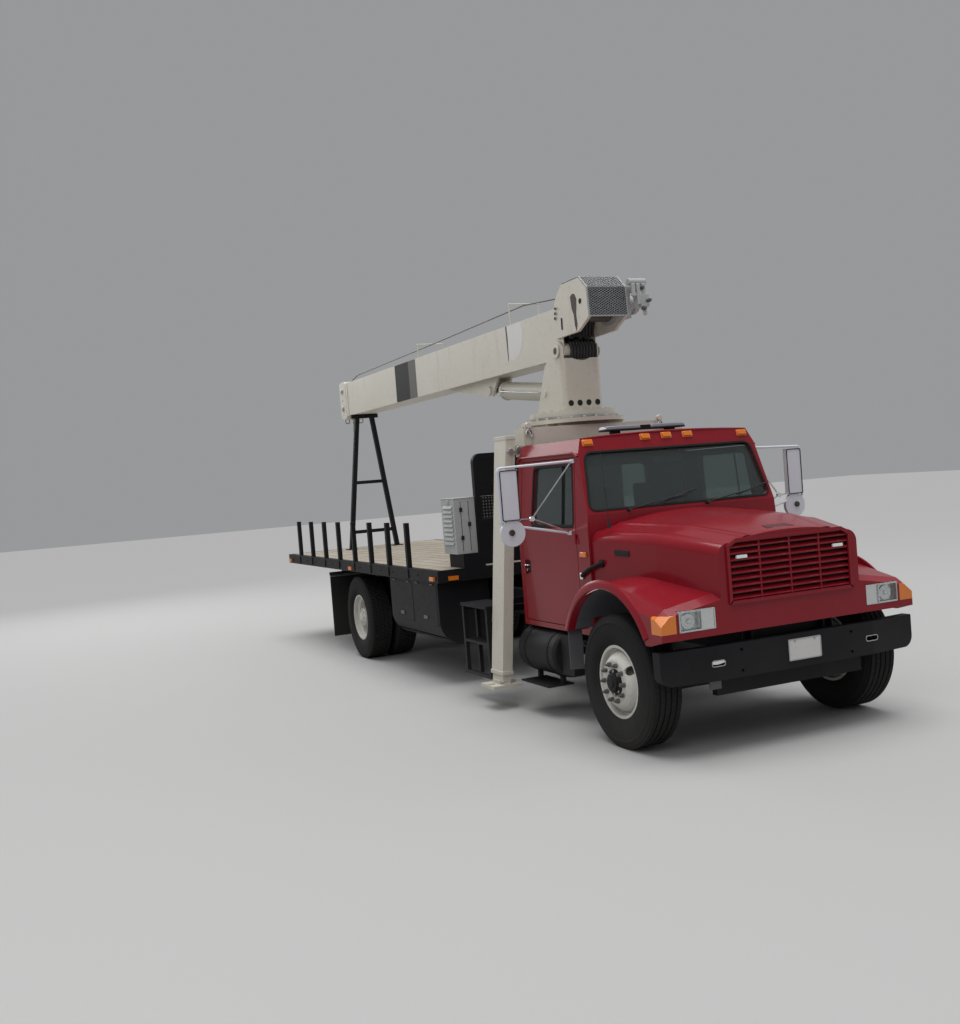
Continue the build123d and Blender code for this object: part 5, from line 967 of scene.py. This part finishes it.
# %% [markdown]
# ## Crane head
# The winch sits between the head plates under a guard of expanded metal, so the operator can see
# the rope. Expanded metal is a lattice of diamonds. The grid tree makes one set of short wires
# for each of the four edges of a diamond, and a dark sheet behind them stands for the shade.

# %% Guard of expanded metal
GUARD_HALF = 0.216
GUARD_LINE = [Vector((x, 0, z)) for x, z in ((-2.105, 3.992), (-1.779, 3.999), (-1.644, 3.877), (-1.629, 3.604))]
GUARD_RUNS = list(zip(GUARD_LINE, GUARD_LINE[1:]))
GUARD_INSIDE = Vector((-1.95, 0, 3.75))
GUARD_EDGE = 0.014
DIAMOND = (0.04, 0.022)
WIRE = 0.0036


def lattice(start, end, across):
    """Diamond wires on a strip that runs from start to end and is this wide."""
    along = (end - start).normalized()
    length = (end - start).length
    columns, rows = max(2, round(across / DIAMOND[0])), max(2, round(length / DIAMOND[1]))
    wide, tall = across / columns, length / rows
    edge = math.hypot(wide, tall) / 2
    slope = math.atan2(tall, wide)
    turn = Matrix.Rotation(math.atan2(along.x, along.z), 3, "Y") @ Matrix(((0, 0, 1), (1, 0, 0), (0, 1, 0)))
    for step_x, step_y, lean in ((-1, -1, slope), (1, 1, slope), (1, -1, -slope), (-1, 1, -slope)):
        place = (start + end) / 2 + turn @ Vector((step_x * wide, step_y * tall, 0)) / 4
        grow(
            GRID, galvanised, Columns=columns, Rows=rows, Width=across - wide, Height=length - tall,
            Bar_Size=(edge + WIRE, WIRE, WIRE * 0.7), Slant=lean, Place=place, Turn=turn.to_euler(),
        )


for start, end in GUARD_RUNS:
    lattice(start, end, 2 * GUARD_HALF)
new_piece("guard_lattice", galvanised, "boom")

for way in (-1, 1):
    inner, outer = Vector((0, way * (GUARD_HALF - GUARD_EDGE), 0)), Vector((0, way * GUARD_HALF, 0))
    for start, end in GUARD_RUNS:
        normal = (end - start).normalized().cross(Vector((0, 1, 0)))
        plate([start + inner, end + inner, end + outer, start + outer], normal * 0.004)
for spot in (GUARD_LINE[0], GUARD_LINE[-1]):
    box((spot.x - 0.007, -GUARD_HALF, spot.z - 0.004), (spot.x + 0.007, GUARD_HALF, spot.z + 0.008))
new_piece("guard_frame", galvanised, "boom", replaces=("winch_guard",))

# A near-black sheet just inside the lattice, reaching over the plates' front edges: painted shade of the guard's
# inside.
half = Vector((0, GUARD_HALF - 0.001, 0))
for start, end in GUARD_RUNS:
    inward = (end - start).normalized().cross(Vector((0, 1, 0)))
    if inward.dot(GUARD_INSIDE - start) < 0:
        inward = -inward
    start, end = start + inward * 0.0035, end + inward * 0.0035
    plate([start - half, end - half, end + half, start + half], inward * 0.0008)
new_piece("guard_shade", dark_screen_and_painted_shade, "boom")

# %% Winch rope, motor and hoses
DRUM_X, DRUM_Z = -1.92, 3.75
ROPE_TURNS = 20
for index in range(ROPE_TURNS):
    y = -0.158 + index * 0.316 / (ROPE_TURNS - 1)
    bar(arc(DRUM_X, y, DRUM_Z, 0.15)[:-1], 0.0085, 6, closed=True)
new_piece("rope_on_drum", rope_steel, "boom")

box((-1.72, 0.336, 3.68), (-1.58, 0.43, 3.8))
bar([(DRUM_X, 0.43, DRUM_Z), (DRUM_X, 0.468, DRUM_Z)], 0.098, 28)
bar([(-1.66, 0.25, 3.925), (-1.66, 0.44, 3.925)], 0.034, 20)
for y, low in ((0.27, 3.78), (0.325, 3.7), (0.385, 3.6)):
    bar([(-1.6, y, low), (-1.6, y, 3.9)], 0.02, 14)
box((-1.8, 0.336, 3.84), (-1.66, 0.42, 3.91))
new_piece("winch_motor", grey, "boom", bevel=0.005)
for x, y, z in ((-1.62, 0.36, 3.86), (-1.57, 0.4, 3.73), (-1.6, 0.36, 3.66)):
    bar([(x, y, z), (x + 0.045, y, z)], 0.018, 6)
    bar([(x + 0.04, y, z), (x + 0.06, y, z)], 0.012)
new_piece("winch_fittings", nut_steel, "boom")

PIN_X, PIN_Z = -2.3, 3.36
for index in range(9):
    bar(arc(PIN_X, -0.105 + index * 0.034, PIN_Z, 0.101, -48, 72, 10), 0.015, 10)
new_piece("column_hoses", hose_rubber, "turret")
for index in range(8):
    spots = ((-2.172, 3.47 + 0.012 * (index % 3)), (-2.168, 3.56), (-2.12, 3.66), (-2.1, 3.72))
    bar(rounded_path([(x, -0.125 + index * 0.036, z) for x, z in spots], 0.05), 0.017, 10)
new_piece("head_hoses", hose_rubber, "boom")

# %% Bolts, openings in painted shade, oil streak and pin
HEAD_Y = 0.216
HEAD_STREAK = (
    (-1.96, 3.84), (-1.915, 3.862), (-1.87, 3.85), (-1.838, 3.8), (-1.846, 3.74), (-1.862, 3.66), (-1.85, 3.56),
    (-1.876, 3.49), (-1.905, 3.56), (-1.912, 3.66), (-1.944, 3.72),
)
for way in (-1, 1):
    for x, z in ((-2.252, 3.775), (-2.262, 3.728), (-2.27, 3.682)):
        bolt(steel, (x, way * (HEAD_Y + 0.006), z), FACE_OUT[way], 0.015, 0.016)
new_piece("head_bolts", steel, "boom")
# Near-black discs and slots on the head plates: painted shade inside their openings.
for way in (-1, 1):
    y = way * (HEAD_Y + 0.0015)
    bar([(-1.775, y - 0.001, 3.768), (-1.775, y + 0.001, 3.768)], 0.026, 24)
    plate([(x, y, z) for x, z in oblong(-2.172, 3.552, -2.142, 3.67, 0.014, 4)], (0, way * 0.001, 0))
new_piece("head_openings", dark_screen_and_painted_shade, "boom")
form.faces.new(dots((x, -HEAD_Y - 0.0006, z) for x, z in reversed(HEAD_STREAK)))
new_piece("head_streak", rust, "boom")

bar([(PIN_X, -0.228, PIN_Z), (PIN_X, -0.238, PIN_Z)], 0.066, 28)
mirrored()
new_piece("pin_keepers", cream, "turret", bevel=0.003)
bar([(PIN_X, -0.2375, 3.366), (PIN_X, -0.2395, 3.366)], 0.034, 24)
mirrored()
new_piece("pin_recess", rust, "turret")

# %% [markdown]
# ## Turntable
# The column bolts to a slewing ring. Its bolts show all round the flange.

# %% Flange bolts, slewing ring and the holes of the front plate, in painted shade
SLEW_X = -2.48
SLEW_PROFILE = ((0.438, 2.694), (0.452, 2.696), (0.452, 2.716), (0.438, 2.718))  # radius, height
grow(RING, cream, Count=24, Radius=0.392, Stud_Radius=0.015, Stud_Height=0.018, Place=(SLEW_X, 0, 2.773))
new_piece("flange_bolts", cream, "turret")
grow(RING, cream, Count=24, Radius=0.478, Stud_Radius=0.014, Stud_Height=0.016, Place=(SLEW_X, 0, 2.701))
new_piece("seat_bolts", cream)
angles = [2 * math.pi * step / 96 for step in range(96)]
rings = [dots((SLEW_X + r * math.cos(angle), r * math.sin(angle), z) for r, z in SLEW_PROFILE) for angle in angles]
skin(rings, looped=True)
new_piece("slew_ring_edge", steel)

# Near-black discs on the column's front plate: painted shade inside its four holes.
for index in range(4):
    y = (index - 1.5) * 0.1
    bar([(-2.236, y, 2.842), (-2.2092, y, 2.842)], 0.03, 20)
new_piece("column_holes", dark_screen_and_painted_shade, "turret")

# %% [markdown]
# ## Boom markings and rope
# Two bands across the boom's side mark its end: a wide black one and a narrow grey one. They are
# paint, so they are plates a millimetre thick that ride on the boom. The hoist rope leaves the
# drum, runs over the two guides and over the sheaves in the tip. When the boom slides out, each
# length of rope stays with the section it lies on.

# %% Boom bands, worn patch and collar
BOOM_SIDE = 0.185
BOOM_LOW, BOOM_HIGH = 3.29, 3.79
BOOM_PATCH = (
    (-3.455, 3.78), (-3.1, 3.78), (-3.07, 3.7), (-3.1, 3.56), (-3.18, 3.45), (-3.33, 3.4), (-3.44, 3.425),
)
BOOM_STREAK = ((-3.48, 3.786), (-3.45, 3.786), (-3.44, 3.64), (-3.448, 3.43), (-3.462, 3.4), (-3.47, 3.56))
for name, rear, front, paint in (("black", -7.0, -6.48, band_black), ("grey", -6.48, -6.22, band_grey)):
    for way in (-1, 1):
        y = way * (BOOM_SIDE + 0.0006)
        box((rear, y - 0.0006, BOOM_LOW + 0.002), (front, y + 0.0006, BOOM_HIGH - 0.002))
    new_piece(f"boom_band_{name}", paint, "boom")

for name, outline, lift, paint in (("patch", BOOM_PATCH, 0.0008, plate_paint), ("streak", BOOM_STREAK, 0.0012, rust)):
    form.faces.new(dots((x, -BOOM_SIDE - lift, z) for x, z in outline))
    new_piece(f"boom_{name}", paint, "boom")

box((-9.225, -0.19, 3.285), (-9.205, 0.19, 3.292))
for y in (-0.188, 0.188):
    box((-9.232, y - 0.004, 3.288), (-9.15, y + 0.004, 3.792))
box((-9.232, -0.19, 3.788), (-9.15, 0.19, 3.796))
new_piece("boom_collar", cream, "boom", bevel=0.002)

# %% Hoist rope in its lengths
ROPE = 0.0075
bar([(-1.98, 0.02, 3.888), (-3.37, 0, 3.9945), (-6.12, 0, 3.9445), (-9.14, 0, 3.905)], ROPE, 8)
new_piece("rope_on_boom", rope_steel, "boom")
bar([(-9.14, 0, 3.905), (-9.4, 0, 3.862)], ROPE, 8)
over = arc(-9.48, 0, 3.69, 0.1, 62, 180, 10)
bar([(-9.4, 0, 3.862), *over, (-9.58, 0, 3.42), (-9.56, 0, 3.3), (-9.505, 0, 3.255)], ROPE, 8)
new_piece("rope_at_tip", rope_steel, "tip_section")

# %% Tip head: caps, rod and shackles
for z in (3.69, 3.42):
    bar([(-9.48, -0.17, z), (-9.48, -0.182, z)], 0.045, 24)
mirrored()
new_piece("sheave_caps", steel, "tip_section", bevel=0.003)
bar([(-9.5, -0.175, 3.548), (-9.5, 0.175, 3.548)], 0.016)
for y in (-0.11, 0.11):
    bow = ((y - 0.03, 3.252), (y - 0.034, 3.19), (y + 0.034, 3.19), (y + 0.03, 3.252))
    bar(rounded_path([(-9.5, across, up) for across, up in bow], 0.03), 0.01, 10)
new_piece("tip_shackles", steel, "tip_section")

# %% [markdown]
# ## Lift cylinder
# The gland nut, the hose ports and the pipe between them set a hydraulic cylinder apart from a
# plain tube.

# %% Gland, ports and pipe of the lift cylinder
BARREL_FOOT = Vector((-2.62, 0, 2.98))
LIFT_WAY = (Vector((-4.18, 0, 3.16)) - BARREL_FOOT).normalized()
PORTS = (0.16, 1.21)


def on_barrel(along, aside=0.0):
    """A point along the barrel's middle line, or aside from it to the right."""
    return BARREL_FOOT + LIFT_WAY * along - Vector((0, aside, 0))


bar([on_barrel(1.28), on_barrel(1.328)], 0.106, 32)
bar([on_barrel(0.085), on_barrel(0.12)], 0.104, 32)
new_piece("lift_gland", cream, "barrel", bevel=0.004)
for port in PORTS:
    bar([on_barrel(port, 0.09), on_barrel(port, 0.125)], 0.02, 6)
new_piece("lift_ports", steel, "barrel")
low, high = PORTS
pipe = [on_barrel(high, 0.125), on_barrel(high, 0.143), on_barrel(low + 0.1, 0.143), on_barrel(low, 0.125)]
bar(rounded_path(pipe, 0.04), 0.009, 8)
new_piece("lift_pipe", steel, "barrel")

# %% [markdown]
# ## Outriggers
# Each leg hangs on a pin at the end of the beam, and a second, slotted pin locks it for the road.
# A forged hook on the beam holds spare slings.

# %% Leg pins, collars and pad ribs
BEAM_X = -2.141
LEG_HALF = 0.124
LEG_FACE = BEAM_X + LEG_HALF
LEG_LEAN = math.radians(5.6)


def leg_y(z):
    """How far out the leg's centre line lies at a height."""
    return 0.935 + (2.55 - z) * math.tan(LEG_LEAN)


for side, way in SIDES:
    pin_y = leg_y(2.405)
    for y, z, radius, length in ((pin_y + 0.004, 2.405, 0.03, 0.03), (0.86, 2.415, 0.034, 0.018)):
        bar([(LEG_FACE - 0.002, way * y, z), (LEG_FACE + length, way * y, z)], radius, 24)
    bar([(LEG_FACE + 0.016, way * pin_y - 0.045, 2.405), (LEG_FACE + 0.016, way * pin_y + 0.045, 2.405)], 0.007, 8)
    new_piece(f"leg_pins_{side}", steel, f"leg_{side}", bevel=0.003)
    for z, edge in ((2.535, 0.006), (0.335, 0.008)):
        y, along, across = way * leg_y(z), LEG_HALF + edge, 0.05 + edge
        box((BEAM_X - along, y - across, z - 0.018), (BEAM_X + along, y + across, z + 0.018))
    new_piece(f"leg_collars_{side}", cream, f"leg_{side}", bevel=0.003)
    for x, y in ((-0.11, 0), (0.11, 0), (0, -0.11), (0, 0.11)):
        x, y = BEAM_X + x, way * leg_y(0.2) + y
        box((x - 0.03, y - 0.03, 0.229), (x + 0.03, y + 0.03, 0.243))
    new_piece(f"pad_ribs_{side}", cream, f"jack_{side}", bevel=0.003)

# %% Lugs and hooks on the beam
LUG_Y = 0.735
for y in (-LUG_Y, LUG_Y):
    box((BEAM_X + 0.098, y - 0.036, 2.45), (BEAM_X + 0.112, y + 0.036, 2.66))
    bar([(BEAM_X + 0.098, y, 2.64), (BEAM_X + 0.135, y, 2.64)], 0.03, 20)
new_piece("beam_lugs", cream, bevel=0.004)
for y in (-LUG_Y, LUG_Y):
    angles = [math.radians(-50 + 250 * step / 16) for step in range(17)]
    hook = [(BEAM_X + 0.125, y + 0.034 * math.cos(angle), 2.555 + 0.045 * math.sin(angle)) for angle in angles]
    bar([(BEAM_X + 0.12, y, 2.64), (BEAM_X + 0.125, y - 0.012, 2.612), *hook], 0.01, 10)
new_piece("beam_hooks", steel)

# %% Pedestal ribs and beam hoses
for x in (SLEW_X - 0.24, SLEW_X + 0.24):
    plate([(x, -0.33, 2.4), (x, -0.33, 2.65), (x, -0.44, 2.65)], (0.012, 0, 0))
for x in (SLEW_X - 0.38, SLEW_X + 0.38):
    box((x - 0.008, -0.35, 1.5), (x + 0.008, -0.25, 1.56))
mirrored()
new_piece("pedestal_ribs", cream, bevel=0.002)

for index in range(3):
    x = BEAM_X + 0.05 + index * 0.022
    hose = [(x, -0.36, 2.345), (x, -0.55 - index * 0.03, 2.315 - index * 0.012), (x, -0.76, 2.33)]
    bar(rounded_path(hose, 0.12, 6), 0.01, 8)
mirrored()
new_piece("beam_hoses", rubber)

# %% [markdown]
# ## Load bed
# The bed's rails carry stake pockets with their stakes, and lamps in rubber rings. The headboard
# has a band of perforated sheet, and the cabinet breathes through louvres.

# %% Stake pockets and rail bolts
for index in range(8):
    x = -4.33 - index * 0.65
    box((x - 0.046, -1.231, 1.125), (x + 0.046, -1.219, 1.228))
for index in range(15):
    x = -3.6 - index * 0.405
    bar([(x, -1.218, 1.175), (x, -1.227, 1.175)], 0.011, 6)
mirrored()
new_piece("stake_pockets", black, bevel=0.003)

# %% Headboard's perforated band and the gaps between the planks
BAND_LOW, BAND_HIGH = 1.742, 1.983
PANELS = ((-0.69, -0.265), (-0.215, 0.215), (0.265, 0.69))
HOLE_PITCH = 0.03
for low, high in PANELS:
    box((-3.43, low, BAND_LOW), (-3.426, high, BAND_HIGH))
new_piece("headboard_sheet", black)
for index in range(1, 13):
    y = -1.1515 + index * 0.17715
    box((-9.435, y - 0.004, 1.2395), (-3.485, y + 0.004, 1.2408))
new_piece("plank_gaps", rust)
for low, high in PANELS:
    across, tall = high - low - 0.05, BAND_HIGH - BAND_LOW - 0.04
    grow(
        GRID, band_grey, Columns=round(tall / HOLE_PITCH), Rows=round(across / HOLE_PITCH), Width=tall, Height=across,
        Bar_Size=(0.015, 0.015, 0.006), Slant=math.pi / 4, Turn=FACE_AHEAD,
        Place=(-3.428, (low + high) / 2, (BAND_LOW + BAND_HIGH) / 2),
    )
new_piece("headboard_holes", band_grey)

# %% Cabinet louvres, seams and latches
rear, outer, low = -3.8, -0.965, 1.39
front, inner, high = -3.45, -0.725, 1.98
LOUVRES = 9
for index in range(LOUVRES):
    z = low + 0.1 + index * 0.048
    spots = ((rear + 0.05, 0, 0.028), (rear + 0.05, 0.016, 0), (front - 0.05, 0.016, 0), (front - 0.05, 0, 0.028))
    plate([(x, outer - out, z + up) for x, out, up in spots], (0, 0, 0.003))
new_piece("cabinet_louvres", grey)
for y in (outer + 0.075, outer + 0.165):
    box((front - 0.001, y - 0.003, low + 0.03), (front + 0.0015, y + 0.003, high - 0.03))
for y, z in ((outer + 0.075, 1.56), (outer + 0.075, 1.86), (outer + 0.165, 1.7)):
    box((front, y - 0.016, z - 0.022), (front + 0.01, y + 0.016, z + 0.022))
new_piece("cabinet_seams", trim, bevel=0.0005, segments=1)
box((rear + 0.17, outer - 0.014, 1.925), (rear + 0.22, outer, 1.965))
box((rear - 0.004, outer - 0.004, high - 0.003), (front + 0.004, inner + 0.004, high + 0.006))
new_piece("cabinet_trim", grey, bevel=0.002)

# %% Round tank: straps, end fittings and its bare label
TANK_Y, TANK_Z, TANK_RADIUS = -0.85, 0.565, 0.215
STRAP_HALF = Vector((0.02, 0, 0))
for x in (-1.37, -1.81):
    for degrees in range(90, 280, 10):
        ways = [Vector((0, math.cos(a), math.sin(a))) for a in (math.radians(degrees), math.radians(degrees + 10))]
        start, end = (Vector((x, TANK_Y, TANK_Z)) + way * (TANK_RADIUS + 0.002) for way in ways)
        plate([start - STRAP_HALF, start + STRAP_HALF, end + STRAP_HALF, end - STRAP_HALF], ways[0] * 0.003)
new_piece("tank_straps", band_black)
box((-0.999, -0.93, 0.5), (-0.997, -0.85, 0.59))
new_piece("battery_label", plate_paint)
for y, z in ((-0.93, 0.7), (-0.88, 0.7), (-0.83, 0.69)):
    bar([(-1.002, y, z), (-0.97, y, z)], 0.016)
lead = [(-0.985, -0.93, 0.7), (-0.94, -0.93, 0.69), (-0.93, -0.8, 0.62), (-0.995, -0.7, 0.52)]
bar(rounded_path(lead, 0.05), 0.01, 8)
new_piece("battery_fittings", nut_steel)

# %% Splash guards behind the front wheels
plate([(-0.728, -1.17, 0.88), (-0.728, -1.17, 0.53), (-0.728, -1.04, 0.52), (-0.728, -1.04, 0.88)], (0.006, 0, 0))
mirrored()
new_piece("splash_guards", guard_grey)

# %% Tool box doors, hinges and handles
DOORS = ((-4.24, -3.56), (-4.96, -4.28))
for rear, front in DOORS:
    box((rear, -1.199, 0.64), (front, -1.194, 1.075))
mirrored()
new_piece("toolbox_doors", black, bevel=0.002)
for rear, front in DOORS:
    middle = (rear + front) / 2
    box((middle - 0.05, -1.21, 0.7), (middle + 0.05, -1.198, 0.735))
    for x in (front - 0.12, rear + 0.12):
        bar([(x - 0.04, -1.202, 1.082), (x + 0.04, -1.202, 1.082)], 0.007, 10)
mirrored()
new_piece("toolbox_handles", nut_steel, bevel=0.002)

# %% Step grating
for y in (-1.05, 1.05):
    place = (-2.615, y, 0.938)
    grow(GRID, black, Columns=14, Rows=2, Width=0.56, Height=0.001, Bar_Size=(0.006, 0.27, 0.01), Place=place)
    grow(GRID, black, Columns=2, Rows=6, Width=0.001, Height=0.24, Bar_Size=(0.57, 0.006, 0.01), Place=place)
new_piece("step_grating", black)

# %% Lamp rings and mud flap fittings
for y in (-0.7, -0.85, -1.0):
    ring = [(-9.53, y + spot.x, 1.174 + spot.z) for spot in arc(0, 0, 0, 0.054, steps=28)[:-1]]
    bar(ring, 0.007, 8, closed=True)
mirrored()
new_piece("lamp_rings", rubber)
box((-7.462, -1.2, 0.985), (-7.438, -0.6, 1.045))
for index in range(5):
    y = -0.9 + (index - 2) * 0.13
    bar([(-7.466, y, 1.015), (-7.434, y, 1.015)], 0.009, 6)
mirrored()
new_piece("flap_clamps", steel, bevel=0.002)
